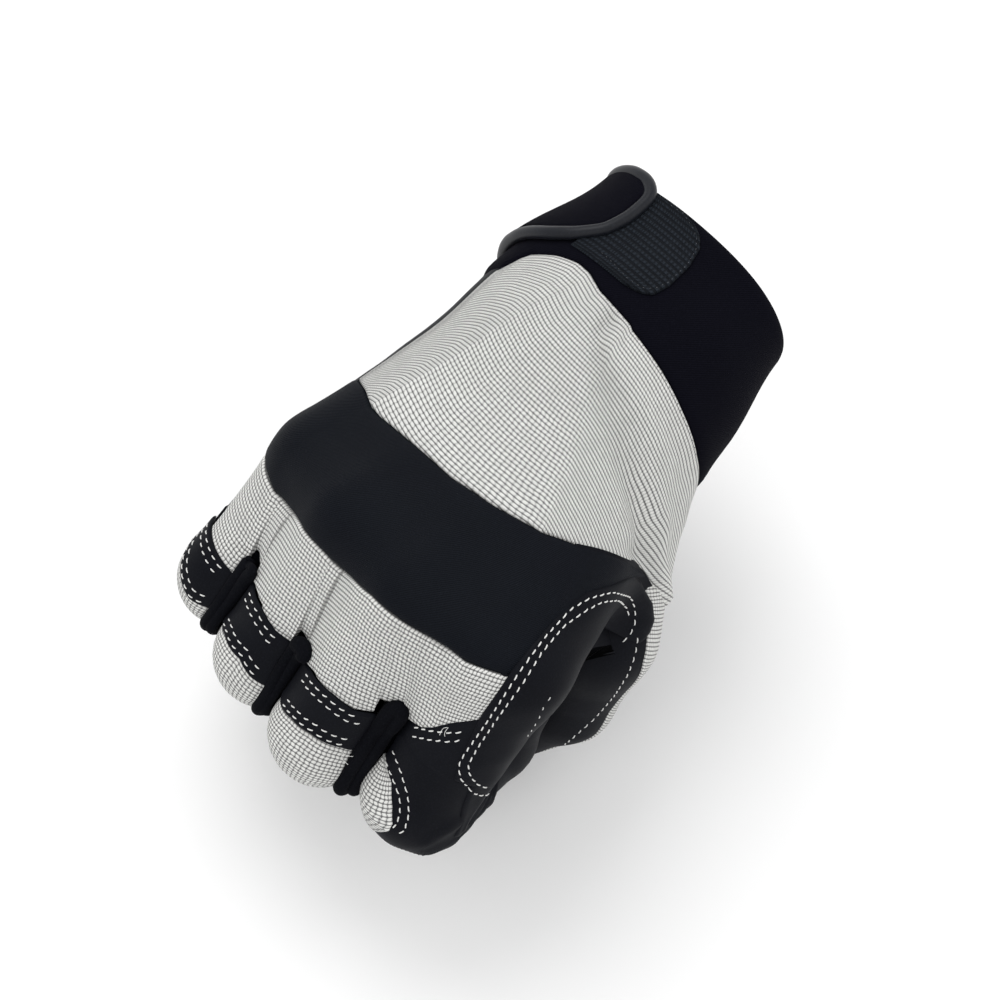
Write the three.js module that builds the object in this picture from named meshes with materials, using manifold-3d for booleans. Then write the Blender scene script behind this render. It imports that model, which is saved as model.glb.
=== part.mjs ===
import * as THREE from 'three';
import Module from 'manifold-3d';

const wasm = await Module();
wasm.setup();

// A right-hand mechanic's glove that keeps the form of a closed fist, in millimetres.
// The origin is the middle of the wrist opening, +X runs to the knuckles,
// +Y to the thumb and +Z out of the back of the hand.

// Driving sizes of the hand that the glove encloses.
const cuffLength = 34;
const openingHalfWidth = 30;
const openingHalfHeight = 22;
const wristHalfWidth = 32;
const wristHalfHeight = 22.5;
const handLength = 76;
const palmWidth = 71;
const fingerLength = 92;
const knuckleRadius = 15;
const thumbRadius = 13;
const turnToThumb = 4;
const liftOfHand = 8;
const handDrop = 1;
const wristNarrowing = 0.42;
const wristShift = 2;

// How wide the soft folds are where two rounded forms of the hand meet.
const palmFold = 14;
const fingerFold = 5;
const jointFold = 3;
const wristFold = 16;
const cuffFold = 12;
const pressedFold = 1.5;
const creaseGap = 1;

// Thickness of the materials and how far the pieces stand apart.
const fabricWall = 1.6;
const leatherWall = 1.4;
const neopreneWall = 2.4;
const overlayWall = 1.3;
const bandPadding = 0.8;
const seamGap = 0.36;
const fingerGap = 0.5;
const overlayLift = 0.7;

// The closure strap, its edge piping and the patch that it closes on.
const strapWall = 2;
const strapReach = 44;
const strapRoot = -96;
const pipingRadius = 1.7;
const hookPatchStart = 34;
const hookPatchEnd = 128;

// The long reinforcement between thumb and index finger.
const saddleNearEdge = 153;
const saddleFarEdge = 190;

const radians = THREE.MathUtils.degToRad;
const fingerPitch = palmWidth / 3;

// Knuckle places are shares of the hand's length, the palm's width and the knuckle radius,
// bone lengths shares of the finger length, radii of the pitch between fingers.
// Angles are how far each bone points below the back of the hand.
const fingers = {
  little: { ahead: 0.8, across: -0.479, below: 1.27, lean: 12.5, aim: [41, 144, 214],
    bones: [0.44, 0.261, 0.13], knuckle: 0.87, radii: [0.47, 0.44, 0.405], split: 0.635 },
  ring: { ahead: 0.92, across: -0.169, below: 0.8, lean: 9, aim: [50, 156, 230],
    bones: [0.5, 0.293, 0.152], knuckle: 0.97, radii: [0.515, 0.48, 0.435], split: 0.62 },
  middle: { ahead: 1, across: 0.169, below: 0.6, lean: 7, aim: [55, 162, 236],
    bones: [0.533, 0.304, 0.163], knuckle: 1, radii: [0.54, 0.495, 0.45], split: 0.62 },
  index: { ahead: 0.96, across: 0.521, below: 0.87, lean: 3, aim: [56, 164, 248],
    bones: [0.511, 0.315, 0.152], knuckle: 1, radii: [0.545, 0.47, 0.445], split: 0.6 },
};
const order = ['little', 'ring', 'middle', 'index'];

// The thumb lies beside the palm and its tip tucks under the index finger.
const thumbTable = [
  { ahead: 0.263, across: 0.366, below: 0.239, radius: 1.38 },
  { ahead: 0.513, across: 0.563, below: 0.446, radius: 1.15 },
  { ahead: 0.605, across: 0.535, below: 0.717, radius: 1 },
  { ahead: 0.829, across: 0.282, below: 0.957, radius: 0.92 },
];

const handTurn = new THREE.Matrix4()
  .makeRotationZ(radians(turnToThumb))
  .multiply(new THREE.Matrix4().makeRotationY(radians(-liftOfHand)));

function fromHand(ahead, across, up) {
  return new THREE.Vector3(ahead, across, up).applyMatrix4(handTurn)
    .add(new THREE.Vector3(cuffLength, -handDrop, -handDrop));
}

// Bones of one finger: the root of its palm bone, knuckle, middle joint, end joint and tip.
function fingerChain(row) {
  const knuckle = new THREE.Vector3(
    row.ahead * handLength, row.across * palmWidth, -row.below * knuckleRadius);
  const wristEnd = fromHand(-2 * handDrop, knuckle.y * wristNarrowing + handDrop, -2 * handDrop);
  const points = [wristEnd, fromHand(...knuckle)];
  const place = knuckle.clone();
  const lean = radians(row.lean);
  row.bones.forEach((share, bone) => {
    const aim = radians(row.aim[bone]);
    const length = share * fingerLength;
    place.x += length * Math.cos(aim);
    place.y -= length * Math.sin(aim) * Math.sin(lean);
    place.z -= length * Math.sin(aim) * Math.cos(lean);
    points.push(fromHand(...place));
  });
  const side = new THREE.Vector3(0, Math.cos(lean), -Math.sin(lean)).applyMatrix4(handTurn);
  const radii = [1.3 * knuckleRadius, row.knuckle * knuckleRadius,
    ...row.radii.map((share) => share * fingerPitch)];
  return { points, radii, side, split: row.split };
}

const chains = {};
for (const name of order) chains[name] = fingerChain(fingers[name]);
const thumb = {
  points: thumbTable.map((row) => fromHand(
    row.ahead * handLength, row.across * palmWidth, -row.below * fingerLength)),
  radii: thumbTable.map((row) => row.radius * thumbRadius),
};

// Distance to a bone whose radius changes along it.
function bone(p, a, b, ra, rb) {
  const along = b.clone().sub(a);
  const t = THREE.MathUtils.clamp(p.clone().sub(a).dot(along) / along.lengthSq(), 0, 1);
  return p.distanceTo(along.multiplyScalar(t).add(a)) - THREE.MathUtils.lerp(ra, rb, t);
}

// Two shapes joined with a soft fold of the given width between them.
function join(a, b, width) {
  const h = THREE.MathUtils.clamp(0.5 + 0.5 * (b - a) / width, 0, 1);
  return b * (1 - h) + a * h - width * h * (1 - h);
}

function cutSoftly(a, b, width) {
  return -join(-a, -b, width);
}

function bonesField(p, chain, first) {
  let d = Infinity;
  for (let i = first; i < chain.points.length - 1; i += 1) {
    const next = bone(p, chain.points[i], chain.points[i + 1], chain.radii[i], chain.radii[i + 1]);
    d = d === Infinity ? next : join(d, next, jointFold);
  }
  return d;
}

// The palm and the back of the hand without the fingers.
function palmField(p) {
  let d = Infinity;
  for (const name of order) {
    const { points, radii } = chains[name];
    const next = bone(p, points[0], points[1], radii[0], radii[1]);
    d = d === Infinity ? next : join(d, next, palmFold);
  }
  return d;
}

const openingSpread = openingHalfWidth - openingHalfHeight;
const wristSpread = wristHalfWidth - wristHalfHeight;
const cuffBulge = cuffFold / 12;

function cuffField(p) {
  const halves = [-1, 1].map((s) => bone(p,
    new THREE.Vector3(-cuffFold / 2, s * (openingSpread + cuffBulge), 0),
    new THREE.Vector3(cuffLength, s * wristSpread + wristShift, 0),
    openingHalfHeight - cuffBulge, wristHalfHeight - cuffBulge));
  return join(halves[0], halves[1], cuffFold);
}

function bodyField(p) {
  let d = palmField(p);
  for (const name of order) {
    const { points, radii } = chains[name];
    d = join(d, bone(p, points[1], points[2], radii[1], radii[2]), fingerFold);
  }
  d = join(d, cuffField(p), wristFold);
  const root = thumb.points[0];
  const end = thumb.points[1].clone().lerp(root, 0.2);
  return join(d, bone(p, root, end, thumb.radii[0], 0.89 * thumb.radii[0]), cuffFold);
}

// The hand as far as the split between the fingers, which curled fingers close on.
function trunkField(p) {
  let d = palmField(p);
  for (const name of order) {
    const { points, radii, split } = chains[name];
    const parting = points[1].clone().lerp(points[2], split);
    const radius = THREE.MathUtils.lerp(radii[1], radii[2], split);
    d = join(d, bone(p, points[1], parting, radii[1], radius), fingerFold);
  }
  return d;
}

// Neighbouring fingers press flat on each other and on the palm, and the curled part of a finger
// presses flat on its own first part.
function fingerField(name, place) {
  const { points, radii } = chains[name];
  const curled = place > 5.99;
  const number = order.indexOf(name);
  const beside = [order[number - 1], order[number + 1]].filter(Boolean);
  const closedOn = curled ? trunkField : palmField;
  return (p) => {
    const own = bonesField(p, chains[name], 1);
    let d = own;
    for (const other of beside) {
      d = cutSoftly(d, (own - bonesField(p, chains[other], 1) + fingerGap) / 2, pressedFold);
    }
    if (place < 5.01 || curled) {
      const first = bone(p, points[1], points[2], radii[1], radii[2]);
      const rest = bonesField(p, chains[name], 2);
      const share = (curled ? rest - first : first - rest) + fingerGap;
      d = cutSoftly(d, share / 2, pressedFold);
    }
    return cutSoftly(d, fingerGap - closedOn(p), pressedFold / 1.5);
  };
}

function thumbField(p) {
  const pressed = Math.min(bonesField(p, chains.index, 1), bonesField(p, chains.middle, 1));
  return cutSoftly(bonesField(p, thumb, 0), fingerGap - pressed, pressedFold / 1.5);
}

// The first point on a ray from inside a shape where it leaves the skin. In a folded joint a ray
// ends short of the crease, so that the walls on both sides of the crease stay apart.
function cast(field, { origin, direction, furthest = Infinity }) {
  let t = 1;
  for (let step = 0; step < 70; step += 1) {
    const depth = -field(origin.clone().addScaledVector(direction, t));
    if (depth < 0.01) break;
    t += Math.max(0.9 * depth, 0.03);
  }
  return origin.clone().addScaledVector(direction, Math.min(t, furthest));
}

function skinNormal(field, p) {
  const e = 0.3;
  const slope = ['x', 'y', 'z'].map((axis) => {
    const ahead = p.clone();
    const behind = p.clone();
    ahead[axis] += e;
    behind[axis] -= e;
    return field(ahead) - field(behind);
  });
  return new THREE.Vector3(...slope).normalize();
}

// A point of the skin on a ray, and the way out along that ray, scaled to count across the wall.
function skinAt(field, ray) {
  const point = cast(field, ray);
  const across = Math.max(0.6, ray.direction.dot(skinNormal(field, point)));
  return { point, out: ray.direction.clone().divideScalar(across) };
}

// The fan of sections round a joint turns about a pivot outside the crease.
function jointFan(chain, k, spread) {
  const { points, radii } = chain;
  const before = points[k].clone().sub(points[k - 1]).normalize();
  const after = points[k + 1].clone().sub(points[k]).normalize();
  const half = (Math.PI - before.angleTo(after)) / 2;
  const reach = spread * radii[k] / Math.tan(half);
  const pivot = after.clone().sub(before).setLength(reach / Math.cos(half)).add(points[k]);
  const start = points[k].clone().addScaledVector(before, -reach);
  const end = points[k].clone().addScaledVector(after, reach);
  return { before, after, pivot, start, end, joint: points[k] };
}

function fanSection(fan, share) {
  const axis = fan.before.clone().cross(fan.after).normalize();
  const from = fan.pivot.clone().sub(fan.start).normalize();
  const to = fan.pivot.clone().sub(fan.end).normalize();
  const inward = from.clone().applyAxisAngle(axis, share * from.angleTo(to));
  const along = axis.clone().cross(inward).normalize();
  const [base, direction] = share <= 0.5 ? [fan.start, fan.before] : [fan.joint, fan.after];
  const run = fan.pivot.clone().sub(base).dot(along) / direction.dot(along);
  const origin = base.clone().addScaledVector(direction, run);
  if (along.dot(fan.before) + along.dot(fan.after) < 0) along.negate();
  return { origin, along, cap: 0, inward, crease: fan.pivot.distanceTo(origin) - creaseGap };
}

function straight(from, to, share, along) {
  return { origin: from.clone().lerp(to, share), along, cap: 0 };
}

const knuckleSpread = 1.3;
const fans = {};
for (const name of order) {
  fans[name] = [null, jointFan(chains[name], 1, knuckleSpread),
    jointFan(chains[name], 2, 1), jointFan(chains[name], 3, 1)];
}
fans.thumb = [null, jointFan(thumb, 1, 1.6), jointFan(thumb, 2, 1.8)];

// Sections of a finger are numbered by legs: 2 to 3 round the knuckle, 3 to 4 to the split
// between fingers, 5 to 6 round the middle joint, 7 to 8 round the end joint, 9 to 10 the tip.
function fingerSection(name, place) {
  const { points, split } = chains[name];
  const [, knuckle, middle, end] = fans[name];
  const leg = Math.min(Math.floor(place), 9);
  const share = place - leg;
  const parting = points[1].clone().lerp(points[2], split);
  if (leg === 2) return fanSection(knuckle, share);
  if (leg === 3) return straight(knuckle.end, parting, share, knuckle.after);
  if (leg === 4) return straight(parting, middle.start, share, middle.before);
  if (leg === 5) return fanSection(middle, share);
  if (leg === 6) return straight(middle.end, end.start, share, end.before);
  if (leg === 7) return fanSection(end, share);
  if (leg === 8) return straight(end.end, points[4], share, end.after);
  return { origin: points[4].clone(), along: end.after, cap: share * Math.PI / 2 };
}

// The thumb's legs: 0 to 1 its root, 1 to 2 its knuckle, 2 to 3, 3 to 4 its end joint, 4 to 5, 5 to 6.
function thumbSection(place) {
  const [, first, second] = fans.thumb;
  const leg = Math.min(Math.floor(place), 5);
  const share = place - leg;
  if (leg === 0) return straight(thumb.points[0], first.start, share, first.before);
  if (leg === 1) return fanSection(first, share);
  if (leg === 2) return straight(first.end, second.start, share, first.after);
  if (leg === 3) return fanSection(second, share);
  if (leg === 4) return straight(second.end, thumb.points[3], share, second.after);
  return { origin: thumb.points[3].clone(), along: second.after, cap: share * Math.PI / 2 };
}

// A ray in a section: 0 degrees is the back of the finger, 90 the side towards the thumb.
function sectionRay(section, side, angle) {
  const across = side.clone().addScaledVector(section.along, -side.dot(section.along)).normalize();
  const back = section.along.clone().cross(across).normalize();
  const direction = back.multiplyScalar(Math.cos(radians(angle)))
    .addScaledVector(across, Math.sin(radians(angle)))
    .multiplyScalar(Math.cos(section.cap))
    .addScaledVector(section.along, Math.sin(section.cap));
  const towards = section.inward ? direction.dot(section.inward) : 0;
  const furthest = towards > 0 ? section.crease / towards : Infinity;
  return { origin: section.origin, direction, furthest };
}

// Both edges of the hand: the cuff, the palm bone and the first finger bone of one side.
function edgeSection(name, place) {
  const sign = name === 'little' ? -1 : 1;
  const opening = new THREE.Vector3(0, sign * openingSpread, 0);
  const wrist = new THREE.Vector3(cuffLength, sign * wristSpread + wristShift / 2, 0);
  const forward = new THREE.Vector3(1, 0, 0);
  if (place < 1) return straight(opening, wrist, place, forward);
  if (place >= 2) return fingerSection(name, Math.min(place, 9));
  const fan = fans[name][1];
  const ease = THREE.MathUtils.smoothstep(place, 1, 2);
  return straight(wrist, fan.start, place - 1, forward.lerp(fan.before, ease).normalize());
}

// A ray round the hand: 0 degrees is its little-finger edge, 90 the back, 180 the thumb edge.
const edgeTurn = 45;
const halfTurn = 180;
const fullTurn = 360;
function handRay(place, turn) {
  const low = edgeSection('little', place);
  const high = edgeSection('index', place);
  const across = high.origin.clone().sub(low.origin).normalize();
  const backs = [low, high].map((section) => section.along.clone().cross(across).normalize());
  const outs = [low, high].map((section, i) => backs[i].clone().cross(section.along)
    .multiplyScalar(i ? 1 : -1));
  outs.forEach((out, i) => { if (out.dot(across) * (i ? 1 : -1) < 0) out.negate(); });
  const w = turn >= fullTurn - edgeTurn ? turn - fullTurn : turn;
  const [backEnd, palmStart] = [halfTurn - edgeTurn, halfTurn + edgeTurn];
  if (w < edgeTurn || (w >= backEnd && w < palmStart)) {
    const i = w < edgeTurn ? 0 : 1;
    const a = radians(i ? 2 * (halfTurn - w) : 2 * w);
    const direction = outs[i].clone().multiplyScalar(Math.cos(a)).addScaledVector(backs[i], Math.sin(a));
    return { origin: (i ? high : low).origin, direction };
  }
  const overBack = w < backEnd;
  const share = (overBack ? w - edgeTurn : fullTurn - edgeTurn - w) / (backEnd - edgeTurn);
  const direction = backs[0].clone().lerp(backs[1], share).normalize();
  if (!overBack) direction.negate();
  return { origin: low.origin.clone().lerp(high.origin, share), direction };
}

// Columns run round the hand. Each belongs to a finger and to an angle round that finger,
// and its turn is where it lies round the hand.
const columns = [
  { finger: 'little', angle: -45, turn: 22.5 }, { finger: 'little', angle: -15, turn: 37.5 },
  { finger: 'little', angle: 15, turn: 49 }, { finger: 'little', angle: 45, turn: 57 },
  { finger: 'ring', angle: -45, turn: 61.5 }, { finger: 'ring', angle: -15, turn: 69.5 },
  { finger: 'ring', angle: 15, turn: 77.5 }, { finger: 'ring', angle: 45, turn: 85 },
  { finger: 'middle', angle: -45, turn: 91.5 }, { finger: 'middle', angle: -15, turn: 99.5 },
  { finger: 'middle', angle: 15, turn: 107.5 }, { finger: 'middle', angle: 45, turn: 115 },
  { finger: 'index', angle: -45, turn: 123 }, { finger: 'index', angle: -15, turn: 131 },
  { finger: 'index', angle: 15, turn: 142.5 }, { finger: 'index', angle: 45, turn: 157.5 },
  { finger: 'index', angle: 75, turn: 172.5 }, { finger: 'index', angle: 105, turn: 187.5 },
  { finger: 'index', angle: 135, turn: 202.5 }, { finger: 'index', angle: 165, turn: 217.5 },
  { finger: 'index', angle: 195, turn: 229 }, { finger: 'index', angle: 225, turn: 237 },
  { finger: 'middle', angle: 135, turn: 245 }, { finger: 'middle', angle: 165, turn: 252.5 },
  { finger: 'middle', angle: 195, turn: 260.5 }, { finger: 'middle', angle: 225, turn: 268.5 },
  { finger: 'ring', angle: 135, turn: 275 }, { finger: 'ring', angle: 165, turn: 282.5 },
  { finger: 'ring', angle: 195, turn: 290.5 }, { finger: 'ring', angle: 225, turn: 298.5 },
  { finger: 'little', angle: 135, turn: 303 }, { finger: 'little', angle: 165, turn: 311 },
  { finger: 'little', angle: 195, turn: 322.5 }, { finger: 'little', angle: 225, turn: 337.5 },
  { finger: 'little', angle: 255, turn: 352.5 }, { finger: 'little', angle: 285, turn: 367.5 },
];
const backColumns = 15;
const thumbEdgeColumns = 18;

// Where the seams across the back lie, as places along the hand at a few turns round it.
const seams = {
  cuff: [[22, 1.05], [40, 0.84], [72, 0.88], [129, 0.92], [160, 1.02], [176, 1.05], [270, 1], [382, 1.05]],
  bandTop: [[22, 1.76], [94, 1.79], [132, 1.72], [158, 1.68], [190, 1.55], [270, 1.7], [382, 1.76]],
  bandEnd: [[22, 3.2], [44, 3.28], [62, 3.12], [80, 3], [100, 2.82], [128, 2.63], [158, 2.52],
    [270, 2.9], [382, 3.2]],
};

function seamPlace(seam, turn) {
  const rows = seams[seam];
  const next = Math.max(1, rows.findIndex((row) => row[0] >= turn));
  const [a, b] = [rows[next - 1], rows[next]];
  return THREE.MathUtils.mapLinear(turn, a[0], b[0], a[1], b[1]);
}

const rowCounts = { cuff: 3, back: 5, band: 5, panel: 3 };
const firstRow = {
  cuff: 0,
  back: rowCounts.cuff,
  band: rowCounts.cuff + rowCounts.back,
  panel: rowCounts.cuff + rowCounts.back + rowCounts.band,
};
const lastRow = firstRow.panel + rowCounts.panel;

function rowPlace(row, turn) {
  const stops = [[0, 0], [firstRow.back, seamPlace('cuff', turn)],
    [firstRow.band, seamPlace('bandTop', turn)], [firstRow.panel, seamPlace('bandEnd', turn)],
    [lastRow, 4]];
  const next = Math.max(1, stops.findIndex((stop) => stop[0] >= row));
  const [a, b] = next > 0 ? [stops[next - 1], stops[next]] : [stops[3], stops[4]];
  return THREE.MathUtils.mapLinear(row, a[0], b[0], a[1], b[1]);
}

function wrapColumn(k) {
  return ((k % columns.length) + columns.length) % columns.length;
}

function columnTurn(column) {
  const low = Math.floor(column);
  const turn = (k) => columns[wrapColumn(k)].turn + fullTurn * Math.floor(k / columns.length);
  return THREE.MathUtils.lerp(turn(low), turn(low + 1), column - low);
}

function wrapTurn(turn) {
  return ((turn % fullTurn) + fullTurn) % fullTurn;
}

function handSkin(place, turn) {
  return skinAt(bodyField, handRay(place, wrapTurn(turn)));
}

function handPoint(place, turn) {
  return cast(bodyField, handRay(place, wrapTurn(turn)));
}

// One closed piece of cloth over the marked cells of a grid. Its edges are drawn in by half a
// seam gap, so that two pieces that share a grid line stay apart.
function clothPiece({
  rows, cols, round, covers, skin, outer, inner, closeEnd, padding = () => 0,
}) {
  const wrap = (c) => (round ? (c + cols) % cols : c);
  const has = (r, c) => r >= 0 && r < rows && (round || (c >= 0 && c < cols)) && covers(r, wrap(c));
  const positions = [];
  const faces = [];
  const index = new Map();
  const vertex = (r, c, layer) => {
    const key = `${r},${wrap(c)},${layer}`;
    if (!index.has(key)) {
      const [nw, ne] = [has(r - 1, c - 1), has(r - 1, c)];
      const [sw, se] = [has(r, c - 1), has(r, c)];
      const pullRow = Math.sign(Number(sw) + Number(se) - Number(nw) - Number(ne));
      const pullCol = Math.sign(Number(ne) + Number(se) - Number(nw) - Number(sw));
      const { point, out } = skin(r, wrap(c), pullRow, pullCol);
      const lift = (layer ? inner : outer) + padding(r, wrap(c), layer);
      index.set(key, positions.length / 3);
      positions.push(...point.clone().addScaledVector(out, lift));
    }
    return index.get(key);
  };
  const quad = (a, b, c, d) => faces.push(a, b, c, a, c, d);
  for (let r = 0; r < rows; r += 1) {
    for (let c = 0; c < cols; c += 1) {
      if (!has(r, c)) continue;
      const corner = (dr, dc, layer) => vertex(r + dr, c + dc, layer);
      quad(corner(0, 0, 0), corner(0, 1, 0), corner(1, 1, 0), corner(1, 0, 0));
      quad(corner(0, 0, 1), corner(1, 0, 1), corner(1, 1, 1), corner(0, 1, 1));
      if (!has(r - 1, c)) quad(corner(0, 0, 1), corner(0, 1, 1), corner(0, 1, 0), corner(0, 0, 0));
      if (!has(r + 1, c) && !(closeEnd && r === rows - 1)) {
        quad(corner(1, 0, 0), corner(1, 1, 0), corner(1, 1, 1), corner(1, 0, 1));
      }
      if (!has(r, c - 1)) quad(corner(0, 0, 0), corner(1, 0, 0), corner(1, 0, 1), corner(0, 0, 1));
      if (!has(r, c + 1)) quad(corner(0, 1, 1), corner(1, 1, 1), corner(1, 1, 0), corner(0, 1, 0));
    }
  }
  if (closeEnd) {
    for (const layer of [0, 1]) {
      const tip = positions.length / 3;
      const lift = layer ? inner : outer;
      positions.push(...closeEnd.point.clone().addScaledVector(closeEnd.out, lift));
      for (let c = 0; c < cols; c += 1) {
        const [a, b] = [vertex(rows, c, layer), vertex(rows, c + 1, layer)];
        faces.push(...(layer ? [b, a, tip] : [a, b, tip]));
      }
    }
  }
  const geometry = new THREE.BufferGeometry();
  geometry.setAttribute('position', new THREE.Float32BufferAttribute(positions, 3));
  geometry.setIndex(faces);
  return facingOut(geometry);
}

function signedVolume(geometry) {
  const position = geometry.attributes.position;
  const [a, b, c] = [new THREE.Vector3(), new THREE.Vector3(), new THREE.Vector3()];
  let volume = 0;
  for (let i = 0; i < geometry.index.count; i += 3) {
    a.fromBufferAttribute(position, geometry.index.getX(i));
    b.fromBufferAttribute(position, geometry.index.getX(i + 1));
    c.fromBufferAttribute(position, geometry.index.getX(i + 2));
    volume += a.dot(b.cross(c)) / 6;
  }
  return volume;
}

function facingOut(geometry) {
  if (signedVolume(geometry) < 0) {
    const faces = geometry.index.array;
    for (let i = 0; i < faces.length; i += 3) [faces[i], faces[i + 1]] = [faces[i + 1], faces[i]];
  }
  return geometry;
}

// Grid steps that pull an edge in by half a seam gap, measured on the skin itself.
function pulledSkin(skin, row, col, pullRow, pullCol) {
  const reach = 0.1;
  const base = skin(row, col);
  const grown = (r, c) => skin(r, c).point.distanceTo(base.point) / reach;
  let [r, c] = [row, col];
  if (pullRow) r += pullRow * seamGap / 2 / grown(row + pullRow * reach, col);
  if (pullCol) c += pullCol * seamGap / 2 / grown(row, col + pullCol * reach);
  return r === row && c === col ? base : skin(r, c);
}

// The last row of the hand lies on the first row of each finger.
const partings = columns.map(({ finger, angle, turn }) => {
  const own = fingerSkin(finger, 4, angle);
  return { shift: own.point.sub(handPoint(4, turn)), out: own.out };
});

function handGridSkin(row, col) {
  const turn = columnTurn(col);
  const { point, out } = handSkin(rowPlace(row, turn), turn);
  const share = Math.max(0, row - lastRow + 1);
  if (share === 0) return { point, out };
  const low = Math.floor(col);
  const between = (key) => partings[wrapColumn(low)][key].clone()
    .lerp(partings[wrapColumn(low + 1)][key], col - low);
  return {
    point: point.addScaledVector(between('shift'), share),
    out: out.lerp(between('out'), share),
  };
}

function handPiece(covers, wall, padding) {
  return clothPiece({
    rows: lastRow, cols: columns.length, round: true, covers, padding,
    skin: (r, c, pr, pc) => pulledSkin(handGridSkin, r, c, pr, pc),
    outer: 0, inner: -wall,
  });
}

// Rows of a finger from the split to its tip, and columns round it from its back.
const fingerRows = [4, 5, 5.25, 5.5, 5.75, 6, 7, 7.33, 7.67, 8, 9, 9.4, 9.75];
const fingerAngles = [-45, -15, 15, 45, 75, 105, 135, 165, 195, 225, 255, 285, 315];
const bandRows = { little: 3, ring: 2, middle: 2, index: 3 };
const tipRow = fingerRows.length - 3;

function tableValue(table, place) {
  const low = THREE.MathUtils.clamp(Math.floor(place), 0, table.length - 2);
  return THREE.MathUtils.lerp(table[low], table[low + 1], place - low);
}

// Past the middle joint a finger is curled against the palm.
function fingerSkin(name, place, angle) {
  return skinAt(fingerField(name, place), sectionRay(fingerSection(name, place), chains[name].side, angle));
}

function fingerGridSkin(name) {
  return (row, col) => fingerSkin(name, tableValue(fingerRows, row), tableValue(fingerAngles, col));
}

function fingerPiece(name, covers, wall, closed) {
  const gridSkin = fingerGridSkin(name);
  return clothPiece({
    rows: fingerRows.length - 1, cols: fingerAngles.length - 1, round: true, covers,
    skin: (r, c, pr, pc) => pulledSkin(gridSkin, r, c, pr, pc),
    outer: 0, inner: -wall, closeEnd: closed && fingerSkin(name, 10, 0),
  });
}

const isBack = (c) => c < 3;
const isThumbSide = (c) => c >= 3 && c < 6;
const isPalm = (c) => c >= 6 && c < 9;
const isLittleSide = (c) => c >= 9;

// Closed solids for the cuts and joins below.
function solidOf(geometry) {
  const { position } = geometry.attributes;
  return new wasm.Manifold(new wasm.Mesh({
    numProp: 3,
    vertProperties: new Float32Array(position.array),
    triVerts: new Uint32Array(geometry.index.array),
  }));
}

function geometryOf(solid) {
  const mesh = solid.asOriginal().simplify(seamGap / 10).getMesh();
  const geometry = new THREE.BufferGeometry();
  geometry.setAttribute('position', new THREE.BufferAttribute(mesh.vertProperties, 3));
  geometry.setIndex(new THREE.BufferAttribute(mesh.triVerts, 1));
  return geometry;
}

// The web that joins the side walls of two fingers where they part.
function webPiece(nearThumb, nearLittle) {
  const sides = [
    { name: nearLittle, columnOf: (k) => 3 + k },
    { name: nearThumb, columnOf: (k) => 12 - k },
  ];
  const steps = 3;
  const webDepth = 0.3;
  const insideWall = 0.7 * leatherWall;
  const rings = sides.map(({ name, columnOf }) => {
    const gridSkin = fingerGridSkin(name);
    return Array.from({ length: steps + 1 }, (_, k) => {
      const pullCol = k === 0 ? 1 : k === steps ? -1 : 0;
      const toward = Math.sign(columnOf(1) - columnOf(0));
      const start = pulledSkin(gridSkin, 0, columnOf(k), 2, pullCol * toward);
      const end = pulledSkin(gridSkin, webDepth, columnOf(k), 0, pullCol * toward);
      return [start, end].map(({ point, out }) => point.addScaledVector(out, -insideWall));
    });
  });
  const positions = [];
  const faces = [];
  for (let k = 0; k <= steps; k += 1) {
    for (const point of [rings[0][k][0], rings[1][k][0], rings[1][k][1], rings[0][k][1]]) {
      positions.push(...point);
    }
    if (k === 0) continue;
    for (let i = 0; i < 4; i += 1) {
      const [a, b] = [4 * (k - 1) + i, 4 * (k - 1) + (i + 1) % 4];
      faces.push(a, b, b + 4, a, b + 4, a + 4);
    }
  }
  const end = 4 * steps;
  faces.push(2, 1, 0, 3, 2, 0, end, end + 1, end + 2, end, end + 2, end + 3);
  const geometry = new THREE.BufferGeometry();
  geometry.setAttribute('position', new THREE.Float32BufferAttribute(positions, 3));
  geometry.setIndex(faces);
  return facingOut(geometry);
}

function fourchette(nearThumb, nearLittle) {
  const walls = [
    fingerPiece(nearLittle, (r, c) => r < tipRow && isThumbSide(c), leatherWall),
    fingerPiece(nearThumb, (r, c) => r < tipRow && isLittleSide(c), leatherWall),
  ];
  return geometryOf(solidOf(walls[0]).add(solidOf(webPiece(nearThumb, nearLittle)))
    .add(solidOf(walls[1])));
}

// The thumb's sleeve, sewn into the hand where the thumb leaves the palm.
const thumbRows = [0.8, 1, 1.33, 1.67, 2, 3, 3.33, 3.67, 4, 5, 5.4, 5.75];
const thumbAngles = [-40, -10, 20, 50, 80, 110, 140, 170, 200, 230, 260, 290, 320];
const thumbSide = new THREE.Vector3(-0.72, 0.29, -0.54);
const thumbTipRow = thumbRows.length - 3;

function thumbSkin(place, angle) {
  return skinAt(thumbField, sectionRay(thumbSection(place), thumbSide, angle));
}

function thumbPiece(covers, wall, closed) {
  const gridSkin = (row, col) => thumbSkin(tableValue(thumbRows, row), tableValue(thumbAngles, col));
  return clothPiece({
    rows: thumbRows.length - 1, cols: thumbAngles.length - 1, round: true, covers,
    skin: (r, c, pr, pc) => pulledSkin(gridSkin, r, c, pr, pc),
    outer: 0, inner: -wall, closeEnd: closed && thumbSkin(6, 0),
  });
}

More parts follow.
